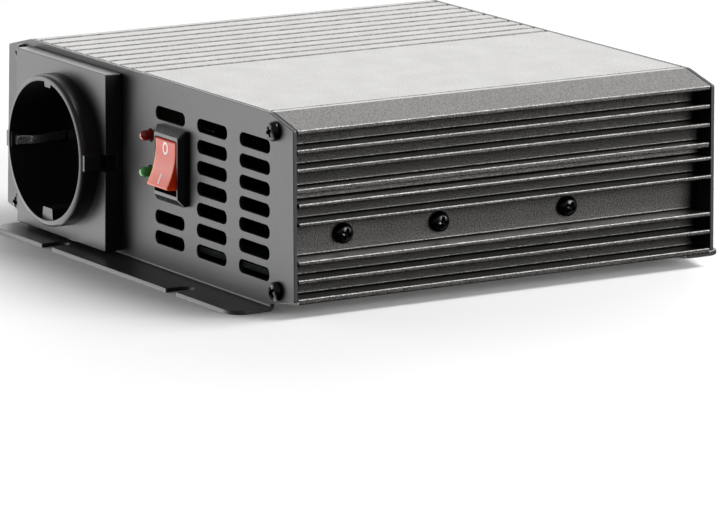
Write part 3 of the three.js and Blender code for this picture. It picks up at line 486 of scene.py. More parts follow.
def anodised_aluminium():
    """Grit-blasted, dark anodised extrusion: sparkling fine grain over a metallic grey, with painted shade
    in its grooves.
    """
    material, tree, shader = start_finish(
        "dark_anodised_aluminium", (0.1, 0.1, 0.098), 0.34, metallic=1.0)
    fine = grain(tree, 0.4, detail=2, contrast=(0.38, 0.62))
    broad = grain(tree, 9, detail=2)
    shade_colors(tree, shader, fine, (0.066, 0.064, 0.062), (0.2, 0.194, 0.188))
    shade_roughness(tree, shader, broad, 0.3, 0.38)
    shade_relief(tree, shader, fine, 0.012)
    # painted shade: the grooves and inner corners are darkened in the colour itself
    paint_crevice_shade(tree, shader, 6, 1.6)
    return material


def powder_coat():
    """Black powder coat baked on steel: a low orange-peel relief and a satin sheen."""
    material, tree, shader = start_finish("black_powder_coat", (0.03, 0.03, 0.031), 0.42)
    peel = grain(tree, 0.45, detail=1.5)
    cloud = grain(tree, 14, detail=2)
    shade_colors(tree, shader, cloud, (0.018, 0.018, 0.0185), (0.024, 0.024, 0.0245))
    shade_roughness(tree, shader, peel, 0.36, 0.5)
    shade_relief(tree, shader, peel, 0.02)
    return material


def moulded_plastic(name, dark, light, roughness, relief=0.01, **sockets):
    """Injection-moulded plastic with a fine spark-eroded texture."""
    material, tree, shader = start_finish(name, light, roughness, **sockets)
    texture = grain(tree, 0.3, detail=2)
    cloud = grain(tree, 11, detail=2)
    shade_colors(tree, shader, cloud, dark, light)
    shade_roughness(tree, shader, texture, roughness - 0.05, roughness + 0.05)
    shade_relief(tree, shader, texture, relief)
    return material


def bare_metal(name, dark, light, roughness, stretch=(1, 1, 1), size=0.3):
    """Machined or plated metal: fine marks drawn out along the direction of the cut."""
    material, tree, shader = start_finish(name, light, roughness, metallic=1.0)
    marks = grain(tree, size, detail=3, stretch=stretch, contrast=(0.25, 0.75))
    shade_colors(tree, shader, marks, dark, light)
    shade_roughness(tree, shader, marks, roughness - 0.06, roughness + 0.08)
    shade_relief(tree, shader, marks, 0.004)
    return material


def circuit_board_finish():
    """Solder mask over copper: a cell pattern of tracks that stands a little proud."""
    material, tree, shader = start_finish("green_solder_mask", (0.006, 0.03, 0.013), 0.55,
                                          specular_ior_level=0.25)
    cells = add_node(tree, "TexVoronoi", vector=object_place(tree), scale=1 / (4 * MM))
    cells.distance = "CHEBYCHEV"
    cells.feature = "DISTANCE_TO_EDGE"
    tracks = spread(tree, cells.outputs["Distance"], from_min=0.04, from_max=0.08)
    shade_colors(tree, shader, tracks, (0.003, 0.014, 0.006), (0.005, 0.026, 0.012))
    shade_relief(tree, shader, tracks, 0.05)
    return material


def wound_tape():
    """Yellow tape over the winding: flat turns with a soft line between them."""
    material, tree, shader = start_finish("yellow_winding_tape", (0.5, 0.36, 0.05), 0.35)
    bands = add_node(tree, "TexWave", vector=object_place(tree), scale=60, distortion=0.6)
    bands.bands_direction = "Z"
    shade_colors(tree, shader, bands.outputs["Fac"], (0.34, 0.2, 0.03), (0.56, 0.4, 0.06))
    shade_relief(tree, shader, bands.outputs["Fac"], 0.15)
    return material


anodised = anodised_aluminium()
coat = powder_coat()
board_green = circuit_board_finish()
tape = wound_tape()
# dark and light colours, then roughness
socket_plastic = moulded_plastic(
    "socket_black_plastic", (0.011, 0.011, 0.0115), (0.016, 0.016, 0.0165), 0.36)
switch_plastic = moulded_plastic(
    "switch_black_plastic", (0.008, 0.008, 0.0085), (0.012, 0.012, 0.0125), 0.26)
fan_plastic = moulded_plastic("fan_black_plastic", (0.01, 0.01, 0.011), (0.018, 0.018, 0.019), 0.5)
pale_plastic = moulded_plastic("pale_socket_plastic", (0.6, 0.58, 0.52), (0.7, 0.68, 0.62), 0.45)
red_plastic = moulded_plastic("red_terminal_plastic", (0.42, 0.02, 0.015), (0.52, 0.03, 0.02), 0.35)
rocker_red = moulded_plastic(
    "clear_red_rocker", (0.86, 0.045, 0.012), (0.98, 0.08, 0.025), 0.32, relief=0.002,
    transmission_weight=0.15, subsurface_weight=0.4, ior=1.42)
red_lens = moulded_plastic(
    "red_lamp_lens", (0.4, 0.01, 0.006), (0.6, 0.03, 0.012), 0.09, relief=0.001,
    transmission_weight=0.45, coat_weight=0.6, ior=1.5)
green_lens = moulded_plastic(
    "green_lamp_lens", (0.1, 0.5, 0.12), (0.16, 0.66, 0.18), 0.09, relief=0.001,
    transmission_weight=0.35, coat_weight=0.6, ior=1.5)
mark_white = moulded_plastic(
    "white_marking_ink", (0.78, 0.74, 0.72), (0.86, 0.83, 0.8), 0.4, relief=0.003)
ferrite = moulded_plastic("ferrite_grey", (0.035, 0.035, 0.038), (0.055, 0.055, 0.058), 0.7, relief=0.03)
sleeve = moulded_plastic(
    "blue_capacitor_sleeve", (0.01, 0.02, 0.06), (0.014, 0.028, 0.09), 0.3, relief=0.003)
transistor_black = moulded_plastic("transistor_case_black", (0.02, 0.02, 0.02), (0.03, 0.03, 0.03), 0.5)
fuse_yellow = moulded_plastic("fuse_yellow_plastic", (0.6, 0.42, 0.02), (0.72, 0.52, 0.03), 0.3)
lead_black = moulded_plastic("black_lead_sheath", (0.014, 0.014, 0.014), (0.02, 0.02, 0.02), 0.45)
lead_red = moulded_plastic("red_lead_sheath", (0.4, 0.016, 0.014), (0.5, 0.025, 0.02), 0.45)
screw_black = bare_metal("black_oxide_screw", (0.02, 0.02, 0.02), (0.045, 0.045, 0.045), 0.22)
plated_steel = bare_metal(
    "zinc_plated_steel", (0.7, 0.7, 0.7), (0.84, 0.83, 0.82), 0.24, stretch=(1, 0.2, 1), size=1.2)
brass = bare_metal("turned_brass", (0.55, 0.38, 0.15), (0.72, 0.52, 0.22), 0.28, stretch=(0.25, 1, 1))

# ---- finned shells ----


def finned_edge(fins, tip_x):
    """Corners of a finned side from the bottom up, and the radius of each corner."""
    corners, radii = [], []
    for i, (top, thickness, groove) in enumerate(fins):
        if thickness > 0:
            corners.append((tip_x, top - thickness))
            radii.append(FIN_EDGE_RADIUS)
        corners.append((tip_x, top))
        radii.append(FIN_EDGE_RADIUS)
        if i + 1 < len(fins):
            next_top, next_thickness, _ = fins[i + 1]
            corners += [(tip_x - groove, top), (tip_x - groove, next_top - next_thickness)]
            radii += [FIN_ROOT_RADIUS] * 2
    return corners, radii


def top_surface():
    """Corners across the case top from right to left: the fine line, then the ten grooves."""
    corners, radii = [(TOP_FLAT_HALF, CASE_HEIGHT)], [0.5]
    cuts = [(TOP_LINE_X, TOP_LINE_WIDTH, TOP_LINE_DEPTH)]
    cuts += [(x, TOP_GROOVE_WIDTH, TOP_GROOVE_DEPTH) for x in TOP_GROOVES_X]
    for x, width, depth in cuts:
        side = depth / 3
        corners += [(x + width / 2, CASE_HEIGHT), (x + width / 2 - side, CASE_HEIGHT - depth),
                    (x - width / 2 + side, CASE_HEIGHT - depth), (x - width / 2, CASE_HEIGHT)]
        radii += [0.15, 0.2, 0.2, 0.15]
    return corners + [(-TOP_FLAT_HALF, CASE_HEIGHT)], radii + [0.5]


def shell_piece(name, corners, radii):
    section = corner_rounded(corners, radii, steps=4)
    surface = along_y(section, [SHELL_START, SHELL_START + 0.15, SHELL_END - 0.15, SHELL_END])
    add_piece(name, [surface], anodised)


def add_top_shell():
    foot_z = SHELL_JOINT_Z + GAP
    fins, fin_radii = finned_edge(TOP_FINS, PANEL_TOP_HALF)
    side = [(WALL_INNER_HALF, foot_z), (TOP_SHELL_FOOT_HALF, foot_z),
            (TOP_SHELL_FOOT_HALF, TOP_FINS[0][0] - TOP_FINS[0][1]), *fins]
    side_radii = [0.2, FIN_EDGE_RADIUS, FIN_ROOT_RADIUS, *fin_radii]
    top, top_radii = top_surface()
    boss_inner = PANEL_SCREW_TOP[0] - 2.8
    boss_bottom = PANEL_SCREW_TOP[1] - 2.6
    inside = [(-WALL_INNER_HALF, boss_bottom), (-boss_inner, boss_bottom), (-boss_inner, CEILING_Z),
              (boss_inner, CEILING_Z), (boss_inner, boss_bottom), (WALL_INNER_HALF, boss_bottom)]
    corners = [*side, *top, *mirrored(side), *inside]
    radii = [*side_radii, *top_radii, *reversed(side_radii), *[0.3] * 6]
    shell_piece("case_top_shell", corners, radii)


def add_bottom_shell():
    fins, fin_radii = finned_edge(BOTTOM_FINS, PANEL_BOTTOM_HALF)
    port_z = PANEL_SCREW_BOTTOM[1] + 2.7
    port_x = PANEL_SCREW_BOTTOM[0] - 3
    side = [(BOTTOM_FLAT_HALF, FLOOR_OUTER_Z), (PANEL_BOTTOM_HALF, BOTTOM_FINS[0][0] - 1.55), *fins,
            (WALL_INNER_HALF - GAP, SHELL_JOINT_Z), (WALL_INNER_HALF - GAP, TONGUE_TOP_Z),
            (TONGUE_INNER_HALF, TONGUE_TOP_Z), (TONGUE_INNER_HALF, TONGUE_ROOT_Z + 1.8),
            (WALL_INNER_HALF, TONGUE_ROOT_Z), (WALL_INNER_HALF, port_z), (port_x, port_z),
            (port_x, FLOOR_INNER_Z)]
    side_radii = [0.4, 0.4, *fin_radii, 0.2, 0.3, 0.3, 0.3, 0.3, 0.3, 0.3, 0.3]
    shell_piece("case_bottom_shell", [*side, *mirrored(side)], [*side_radii, *reversed(side_radii)])


add_top_shell()
add_bottom_shell()

# ---- bent steel panels ----

BEND_LENGTH = math.pi / 2 * (BEND_INNER_RADIUS + SHEET / 2)
FLAT_END = BEND_Z - BEND_LENGTH - (FLANGE_REACH - BEND_INNER_RADIUS)
BEND_STEPS = 10
SHEET_EDGE = 0.18


def panel_blank():
    """The flat blank: chamfered corners above, and below the bend a flange with two open slots."""
    half_slot = FLANGE_SLOT_WIDTH / 2
    slot_end = FLAT_END + FLANGE_SLOT_DEPTH
    right_slot = [(FLANGE_SLOT_X - half_slot, FLAT_END), (FLANGE_SLOT_X - half_slot, slot_end),
                  (FLANGE_SLOT_X + half_slot, slot_end), (FLANGE_SLOT_X + half_slot, FLAT_END)]
    right = [*right_slot, (BOTTOM_FLAT_HALF, FLAT_END), (BOTTOM_FLAT_HALF, BEND_Z + 0.2),
             (PANEL_BOTTOM_HALF, BOTTOM_CORNER_Z), (PANEL_TOP_HALF, TOP_CORNER_Z),
             (TOP_FLAT_HALF, CASE_HEIGHT)]
    radii = [0.5, half_slot, half_slot, 0.5, FLANGE_CORNER_RADIUS, 0.4, 0.5, 0.5, 0.8]
    return corner_rounded([*right, *mirrored(right)], [*radii, *reversed(radii)], steps=7)


def screw_holes():
    return [circle(PANEL_SCREW[2] + SCREW_CLEARANCE, (side * x, z), 16)
            for x, z in (PANEL_SCREW_TOP, PANEL_SCREW_BOTTOM) for side in (-1, 1)]


def bent(points):
    """Flat sheet points bent to the flange. Above the bend a point stays. Through the bend it
    turns about the line behind the corner by its distance below the bend's start over the middle
    radius. Beyond it, it runs straight forward."""
    x, depth, height = points.T
    below = np.clip(BEND_Z - height, 0, None)
    angle = np.clip(below / BEND_LENGTH, 0, 1) * (np.pi / 2)
    radius = BEND_INNER_RADIUS + depth
    beyond = np.clip(below - BEND_LENGTH, 0, None)
    y = np.where(below > 0, -BEND_INNER_RADIUS + radius * np.cos(angle) - beyond, depth)
    z = np.where(below > 0, BEND_Z - radius * np.sin(angle), height)
    return np.column_stack([x, y, z])


def add_panel(name, holes, y, facing):
    """A panel cut from the blank, bent, turned about Z by facing degrees and moved to y."""
    cuts = [BEND_Z - BEND_LENGTH * i / BEND_STEPS for i in range(BEND_STEPS + 1)]
    mesh = closed_mesh(name, plate([panel_blank(), *screw_holes(), *holes], SHEET, SHEET_EDGE), cuts)
    points = bent(mesh_points(mesh) / MM) @ turn_about("Z", math.radians(facing)).T + (0, y, 0)
    mesh.vertices.foreach_set("co", (points * MM).ravel())
    add_piece(name, None, coat, smooth_below=40, mesh=mesh)


def front_panel_holes():
    slots = [rounded_rectangle(*SLOT_SIZE, SLOT_CORNER, (x, z))
             for column, x in enumerate(SLOT_COLUMNS_X)
             for row, z in enumerate(SLOT_ROWS_Z)
             if column > 0 or row not in SWITCHED_ROWS]
    return [*slots, circle(CUP_RADIUS + 0.5, (SOCKET_X, SOCKET_Z), 64),
            rounded_rectangle(SWITCH_BODY[0] + 0.8, SWITCH_BODY[1] + 0.8, 0.5, (SWITCH_X, SWITCH_Z)),
            *[circle(LAMP_RADIUS + GAP, (LAMP_X, z), 24) for z in LAMP_Z.values()]]


def arc_slot(centre, inner, outer, start, end, steps=12):
    """A slot between two radii and two angles, with its corners left square."""
    angle = np.linspace(start, end, steps)
    direction = np.stack([np.cos(angle), np.sin(angle)], axis=1)
    return np.vstack([outer * direction, inner * direction[::-1]]) + centre


def rear_panel_holes():
    centre = (-FAN_X, FAN_Z)
    grille = [arc_slot(centre, inner, inner + GRILLE_SLOT, quarter * math.pi / 2 + GRILLE_SPOKE_HALF / inner,
                       (quarter + 1) * math.pi / 2 - GRILLE_SPOKE_HALF / inner)
              for inner in GRILLE_RINGS for quarter in range(4)]
    corners = [(-FAN_X + sx * FAN_HALF_SPACING, FAN_Z + sz * FAN_HALF_SPACING)
               for sx in (-1, 1) for sz in (-1, 1)]
    return [*grille, *[circle(FAN_SCREW[2] + SCREW_CLEARANCE, corner, 16) for corner in corners],
            *[circle(5, (-x, TERMINAL_Z), 32) for x in TERMINAL_X.values()],
            circle(GROUND_SCREW[2] + SCREW_CLEARANCE, (-GROUND_X, GROUND_Z), 16)]


add_panel("front_panel", front_panel_holes(), FRONT, 0)
add_panel("rear_panel", rear_panel_holes(), REAR, 180)

# ---- screws ----

RECESS_LINES = [0, 0.08, 0.15, 0.19, 0.3, 0.4, 0.5, 0.56, 0.68, 0.8, 0.9, 0.96, 0.99, 1]
RECESS_HALF_WIDTH = 0.15
RECESS_REACH = 0.5


def pan_head_screw(radius, dome, shank, length):
    """A pan-head screw along Y, its head towards -Y with the underside at y = 0. The head's top is
    a square grid (u, v) drawn out to a disc by x = u sqrt(1 - v v / 2), z = v sqrt(1 - u u / 2).
    Its height is dome (0.2 + 0.8 sqrt(1 - r^2.6)), less the cross-shaped recess."""
    lines = np.array([-line for line in RECESS_LINES[:0:-1]] + RECESS_LINES)
    u, v = np.meshgrid(lines, lines, indexing="ij")
    x = u * np.sqrt(1 - v**2 / 2)
    z = v * np.sqrt(1 - u**2 / 2)
    from_axis = np.clip(np.hypot(x, z), 0, 1)
    height = dome * (0.2 + 0.8 * np.sqrt(1 - from_axis**2.6))
    low, high = np.minimum(abs(u), abs(v)), np.maximum(abs(u), abs(v))
    in_cross = (low <= RECESS_HALF_WIDTH + 1e-9) & (high <= RECESS_REACH + 1e-9)
    height = height - in_cross * dome * (0.75 - 0.5 * high)
    top = np.stack([radius * x, -height, radius * z], axis=-1)
    underside = np.stack([radius * x, np.zeros_like(x), radius * z], axis=-1)

    def rim(points):
        return np.concatenate([points[:-1, 0], points[-1, :-1], points[:0:-1, -1], points[0, :0:-1]])

    wall = tube(np.stack([rim(top), rim(underside)]), capped=False)
    shaft = turned([(0, -0.2), (shank, -0.2), (shank, length - 0.8), (shank * 0.6, length), (0, length)],
                   sides=16)
    return joined([grid_surface(top), grid_surface(underside), wall, shaft])


def add_screw(name, size, place, facing, spin, material=screw_black):
    """Facing turns the screw about Z, and spin turns it on its own axis, both in degrees."""
    turn = turn_about("Z", math.radians(facing)) @ turn_about("Y", math.radians(spin))
    add_piece(name, [moved(pan_head_screw(*size), place, turn)], material, smooth_below=38)


def add_screws():
    spins = iter([12, 38, -20, 25, 5, 50, -35, 18, 20, 40, 8, -15, 33, 60, 10, 28, -8, 45, 15])
    corners = [(side * x, z) for x, z in (PANEL_SCREW_TOP, PANEL_SCREW_BOTTOM) for side in (-1, 1)]
    for i, (x, z) in enumerate(corners, 1):
        add_screw(f"front_screw_{i}", PANEL_SCREW, (x, FRONT - GAP, z), 0, next(spins))
        add_screw(f"rear_screw_{i}", PANEL_SCREW, (x, REAR + GAP, z), 180, next(spins))
    for i, y in enumerate(SIDE_SCREW_Y, 1):
        for name, side in (("right", 1), ("left", -1)):
            place = (side * SIDE_SCREW_SEAT, y, SIDE_SCREW_Z)
            add_screw(f"side_screw_{name}_{i}", SIDE_SCREW, place, side * 90, next(spins))
    fan_corners = [(FAN_X + sx * FAN_HALF_SPACING, FAN_Z + sz * FAN_HALF_SPACING)
                   for sz in (-1, 1) for sx in (-1, 1)]
    for i, (x, z) in enumerate(fan_corners, 1):
        add_screw(f"fan_screw_{i}", FAN_SCREW, (x, REAR + GAP, z), 180, next(spins))
    add_screw("ground_screw", GROUND_SCREW, (GROUND_X, REAR + GAP, GROUND_Z), 180, next(spins),
              plated_steel)


add_screws()

# ---- mains socket ----


def quarter_arc(centre, radius, start, end, steps=5):
    """Points of an arc between two angles in degrees, as [radius, y] rows of a profile."""
    angle = np.radians(np.linspace(start, end, steps))
    return [(centre[0] + radius * math.cos(a), centre[1] + radius * math.sin(a)) for a in angle]


def add_socket_body():
    """A square plate, a collar and cup turned about the socket's axis, the recess floor with its
    openings, two guide ribs inside and a key block on each side of the collar."""
    centre = (SOCKET_X, SOCKET_Z)
    half = FACEPLATE_SIZE / 2
    opening = circle(RECESS_RADIUS + 0.5, centre, 96)
    notch = [(half, -NOTCH_HALF), (KEY_REACH, -NOTCH_HALF), (KEY_REACH, NOTCH_HALF),
             (half, NOTCH_HALF)]
    right = [(half, -half), *notch, (half, half)]
    notched = corner_rounded([*right, *[(-x, -z) for x, z in right]], FACEPLATE_EDGE, 4) + centre
    thickness = FRONT - GAP - FACEPLATE_FRONT
    face = plate([notched, opening], NOTCH_DEPTH, FACEPLATE_EDGE)
    base = plate([rounded_rectangle(FACEPLATE_SIZE, FACEPLATE_SIZE, FACEPLATE_CORNER, centre), opening],
                 thickness - NOTCH_DEPTH + 0.1, 0.05)
    ring = [
        *quarter_arc((COLLAR_RADIUS - COLLAR_EDGE, COLLAR_FRONT + COLLAR_EDGE), COLLAR_EDGE, 0, -90),
        *quarter_arc((RECESS_RADIUS + MOUTH_EDGE, COLLAR_FRONT + MOUTH_EDGE), MOUTH_EDGE, -90, -180),
        (RECESS_RADIUS, RECESS_FLOOR + 0.5), (RECESS_RADIUS, CUP_BACK - 0.2),
        (CUP_RADIUS - 0.3, CUP_BACK), (CUP_RADIUS, CUP_BACK - 0.3),
        (CUP_RADIUS, FRONT - GAP), (COLLAR_RADIUS, FRONT - GAP - 0.2),
    ]
    cup = turned(ring, *centre, sides=96, closed=True)
    pins = [circle(PIN_HOLE_RADIUS, (SOCKET_X, SOCKET_Z + side * PIN_SPACING / 2), 32)
            for side in (-1, 1)]
    strap_middle = STRAP_OUTER_HALF - STRAP_THICKNESS / 2
    slits = [rounded_rectangle(STRAP_THICKNESS + 2 * GAP, STRAP_WIDTH + 2 * GAP, 0.2,
                               (SOCKET_X + side * strap_middle, SOCKET_Z)) for side in (-1, 1)]
    floor = plate([circle(RECESS_RADIUS + 0.2, centre, 96), *pins, *slits],
                  CUP_BACK - RECESS_FLOOR - 0.1, 0.3)
    surfaces = [moved(face, (0, FACEPLATE_FRONT, 0)),
                moved(base, (0, FACEPLATE_FRONT + NOTCH_DEPTH - 0.1, 0)),
                cup, moved(floor, (0, RECESS_FLOOR, 0))]
    for side, half_width, height in GUIDE_RIBS:
        foot, tip = RECESS_RADIUS + 0.9, RECESS_RADIUS - height
        rib = corner_rounded([(-half_width, foot), (RIB_TAPER - half_width, tip),
                              (half_width - RIB_TAPER, tip), (half_width, foot)], [0.1, 0.3, 0.3, 0.1])
        rib = rib * (1, side) + centre
        surfaces.append(along_y(rib, [COLLAR_FRONT + RIB_SETBACK, RECESS_FLOOR + 0.5]))
    for side in (-1, 1):
        key_centre = (SOCKET_X + side * (KEY_REACH - KEY_SIZE[0] / 2), SOCKET_Z)
        surfaces.append(block_along_y(KEY_SIZE, 0.25, 0.2, COLLAR_FRONT + KEY_SETBACK,
                                      FACEPLATE_FRONT + 2, key_centre))
    add_piece("socket_body", surfaces, socket_plastic, smooth_below=40)


def smooth_path(knots, per_span=6):
    """A Catmull-Rom curve through the knots: each span blends four neighbours by cubic weights."""
    knots = np.asarray(knots, float)
    padded = np.vstack([2 * knots[0] - knots[1], knots, 2 * knots[-1] - knots[-2]])
    t = np.linspace(0, 1, per_span, endpoint=False)[:, None]
    before, start, end, after = (padded[i:len(padded) - 3 + i][:, None] for i in range(4))
    spans = 0.5 * (2 * start + (end - before) * t + (2 * before - 5 * start + 4 * end - after) * t**2
                   + (3 * start - before - 3 * end + after) * t**3)
    return np.vstack([spans.reshape(-1, knots.shape[1]), knots[-1:]])


def beside(line, offset, closed=False):
    """Two coordinates of points set off across a flat line: each point of the line plus the offset
    times the unit vector at right angles to the line there."""
    if closed:
        along = np.roll(line, -1, axis=0) - np.roll(line, 1, axis=0)
    else:
        along = np.gradient(line, axis=0)
    along /= np.linalg.norm(along, axis=1)[:, None]
    return line[:, :1] - along[:, 1:] * offset, line[:, 1:] + along[:, :1] * offset


def add_earth_strap():
    """A sprung strip bent to a U: its centre line in X and Y, given a thickness and carried in Z."""
    back = CUP_BACK + GAP + STRAP_THICKNESS / 2
    tip = COLLAR_FRONT + STRAP_SETBACK
    middle = (RECESS_FLOOR + tip) / 2 - 2
    outer = STRAP_OUTER_HALF - STRAP_THICKNESS / 2
    right = [(outer - 3, back), (outer - 0.6, back), (outer, back - 1), (outer, RECESS_FLOOR - 1.5),
             (outer - STRAP_PINCH, middle), (outer - 0.3, tip + 0.9), (outer - 0.1, tip + 0.2)]
    line = smooth_path([(-x, y) for x, y in reversed(right)] + [(0, back)] + right)
    section = rounded_rectangle(STRAP_THICKNESS, STRAP_WIDTH, 0.25)
    x, y = beside(line, section[:, 0])
    z = np.broadcast_to(SOCKET_Z + section[:, 1], x.shape)
    loops = np.stack([SOCKET_X + x, y, z], axis=-1)
    add_piece("earth_strap", [tube(loops)], plated_steel)


add_socket_body()
add_earth_strap()

# ---- rocker switch and lamps ----


def add_switch_housing():
    centre = (SWITCH_X, SWITCH_Z)
    window = rounded_rectangle(*SWITCH_WINDOW, 0.5, centre)
    steps = [(0, FRONT - GAP), (0, BEZEL_FRONT + 1.6), (0.12, BEZEL_FRONT + 1.4),
             (1.1, BEZEL_FRONT + 0.1), (1.25, BEZEL_FRONT), (BEZEL_RIM - 0.1, BEZEL_FRONT),
             (BEZEL_RIM, BEZEL_FRONT + 0.1), (BEZEL_RIM, FRONT - GAP)]
    loops = []
    for inset, y in steps:
        across = BEZEL_SIZE[0] - 2 * inset
        upright = BEZEL_SIZE[1] - 2 * inset * BEZEL_RIM_UPRIGHT / BEZEL_RIM
        outline = rounded_rectangle(across, upright, 0.6, centre)
        loops.append(np.insert(outline, 1, y, axis=1))
    bezel = grid_surface(np.stack(loops), wrap_rows=True, wrap_columns=True)
    body = plate([rounded_rectangle(*SWITCH_BODY, 0.4, centre), window], SWITCH_BACK - FRONT - 3, 0.1)
    back = block_along_y(SWITCH_BODY, 0.4, 0.2, SWITCH_BACK - 3.2, SWITCH_BACK, centre)
    surfaces = [bezel, moved(body, (0, FRONT - 0.6, 0)), back]
    add_piece("switch_housing", surfaces, switch_plastic)


def rocker_face(along):
    """Depth of the rocker's hollow face, at a place along its length from its middle."""
    return -ROCKER_LIP + ROCKER_HOLLOW * (1 - (along / ROCKER_HALF_LENGTH) ** 2)


def at_rocker_rest(surface):
    turn = turn_about("X", ROCKER_REST_TILT)
    return moved(surface, (SWITCH_X, FRONT, SWITCH_Z), turn)


def add_rocker():
    """The section is the hollow face and a tapered root, carried across with its ends drawn in
    over the edge radius, and a cross pin through the middle."""
    half, root = ROCKER_HALF_LENGTH, ROCKER_ROOT
    along = np.linspace(-half + 0.4, half - 0.4, 15)
    face = np.column_stack([along, rocker_face(along)])
    back = np.array([(half, -ROCKER_LIP + 0.4), (half + 0.05, -ROCKER_LIP + 1), (half - 0.5, root * 0.4),
                     (half - 3.5, root), (-half + 3.5, root), (-half + 0.5, root * 0.4),
                     (-half - 0.05, -ROCKER_LIP + 1), (-half, -ROCKER_LIP + 0.4)])
    section = np.vstack([face, back])
    stations, shrink = drawn_in(ROCKER_EDGE, -ROCKER_HALF_WIDTH, ROCKER_HALF_WIDTH)
    loops = np.empty((len(stations), len(section), 3))
    loops[..., 0] = stations[:, None]
    loops[..., 1] = section[:, 1] * (1 - shrink[:, None] / ROCKER_LIP)
    loops[..., 2] = section[:, 0] * (1 - shrink[:, None] / half)
    pin = turned([(0, -ROCKER_PIN_HALF), (ROCKER_PIN_RADIUS, -ROCKER_PIN_HALF),
                  (ROCKER_PIN_RADIUS, ROCKER_PIN_HALF), (0, ROCKER_PIN_HALF)], sides=20)
    surfaces = [at_rocker_rest(tube(loops)), at_rocker_rest(moved(pin, turn=turn_about("Z", math.pi / 2)))]
    add_piece("switch_rocker", surfaces, rocker_red, body="rocker")


def mark_surface(centre_line, width, closed):
    """A printed stroke on the rocker's face: its centre line offset by half its width each way,
    lying on the hollow face and standing 0.05 mm proud of it."""
    half = width / 2
    section = np.array([(-half, 0.1), (-half, -0.04), (-half * 0.8, -0.05), (half * 0.8, -0.05),
                        (half, -0.04), (half, 0.1)])
    x, z = beside(centre_line, section[:, 0], closed)
    loops = np.stack([x, rocker_face(z) + section[:, 1], z], axis=-1)
    if closed:
        return grid_surface(loops, wrap_rows=True, wrap_columns=True)
    return tube(loops)


def add_rocker_marks():
    """A nought above for off and a line below for on."""
    angle = np.linspace(0, 2 * np.pi, 40, endpoint=False)
    nought = np.column_stack([1.1 * np.cos(angle), 4.2 + 1.45 * np.sin(angle)])
    line = np.column_stack([np.zeros(6), np.linspace(-5.6, -2.8, 6)])
    for name, stroke in (("0", mark_surface(nought, 0.5, True)), ("1", mark_surface(line, 0.55, False))):
        add_piece(f"rocker_mark_{name}", [at_rocker_rest(stroke)], mark_white,
                  body="rocker", nodes=[])


def add_lamp(color, material):
    z = LAMP_Z[color]
    rim = SHEET + GAP
    dome = [(LAMP_RADIUS * math.cos(a), LAMP_RADIUS - LAMP_REACH - LAMP_RADIUS * math.sin(a))
            for a in np.linspace(math.pi / 2, 0, 10)]
    profile = [*dome, (LAMP_RADIUS, rim), (LAMP_COLLAR_RADIUS, rim), (LAMP_COLLAR_RADIUS, rim + 1),
               (LAMP_RADIUS, rim + 1), (LAMP_RADIUS, LAMP_BACK), (0, LAMP_BACK)]
    lens = moved(turned(profile, sides=32), (LAMP_X, FRONT, z))
    add_piece(f"led_{color}", [lens], material)


add_switch_housing()
add_rocker()
add_rocker_marks()
add_lamp("red", red_lens)
add_lamp("green", green_lens)

# ---- fan rotor and battery terminals ----

FAN_FRONT = FAN_REAR - 10
FAN_HUB_RADIUS = 8
FAN_HUB_SPAN = (1.8, 9.4)
FAN_BLADE_SPAN = (7.4, 18.4)
FAN_BLADES = 7
FAN_HALF_CHORD = 3.7
FAN_BLADE_HALF_THICKNESS = 0.42
KNOB_RADIUS = 7
KNOB_LENGTH = 6.6
KNOB_FLUTES = 12
FLUTE_DEPTH = 0.35
TERMINAL_BORE = 2.8
STUD_RADIUS = 2.5
STUD_TIP = REAR + 11.9
THREAD_DEPTH = 0.35
HALF_PITCH = 0.4
TERMINAL_INNER = REAR - SHEET - 1.2


def fan_blade(heading):
    """Lens-shaped sections from hub to tip. The pitch eases from 50 to 36 degrees and the chord
    is bowed by a parabola. Each point is wrapped round the axis at its section's radius."""
    radius = np.linspace(*FAN_BLADE_SPAN, 10)[:, None]
    share = np.linspace(0, 1, 10)[:, None]
    around = np.linspace(0, 2 * np.pi, 24, endpoint=False)
    chord = FAN_HALF_CHORD * np.cos(around)
    bow = 0.5 * (1 - (chord / FAN_HALF_CHORD) ** 2)
    lift = FAN_BLADE_HALF_THICKNESS * np.sin(around) + bow
    pitch = np.radians(50 - 14 * share)
    sideways = chord * np.sin(pitch) - lift * np.cos(pitch)
    y = np.mean(FAN_HUB_SPAN) + (chord * np.cos(pitch) + lift * np.sin(pitch)) * 0.9
    turn = heading + sideways / radius
    return tube(np.stack([radius * np.cos(turn), y, radius * np.sin(turn)], axis=-1))


def add_fan_rotor():
    low, high = FAN_HUB_SPAN
    outer = FAN_HUB_RADIUS
    inner = FAN_HUB_RADIUS - 1.2
    hub = corner_rounded([(0.9, high - 1.4), (0.9, low + 1), (0.01, low + 1), (0.01, high),
                          (outer, high), (outer, low), (inner, low), (inner, high - 1.4)],
                         [0.1, 0.1, 0.01, 0.01, 0.8, 0.2, 0.2, 0.3], 4)
    surfaces = [turned(hub, sides=64, closed=True)]
    surfaces += [fan_blade(2 * math.pi * i / FAN_BLADES) for i in range(FAN_BLADES)]
    add_piece("fan_rotor", [moved(joined(surfaces), (FAN_X, FAN_FRONT, FAN_Z))], fan_plastic,
              body="fan_rotor")


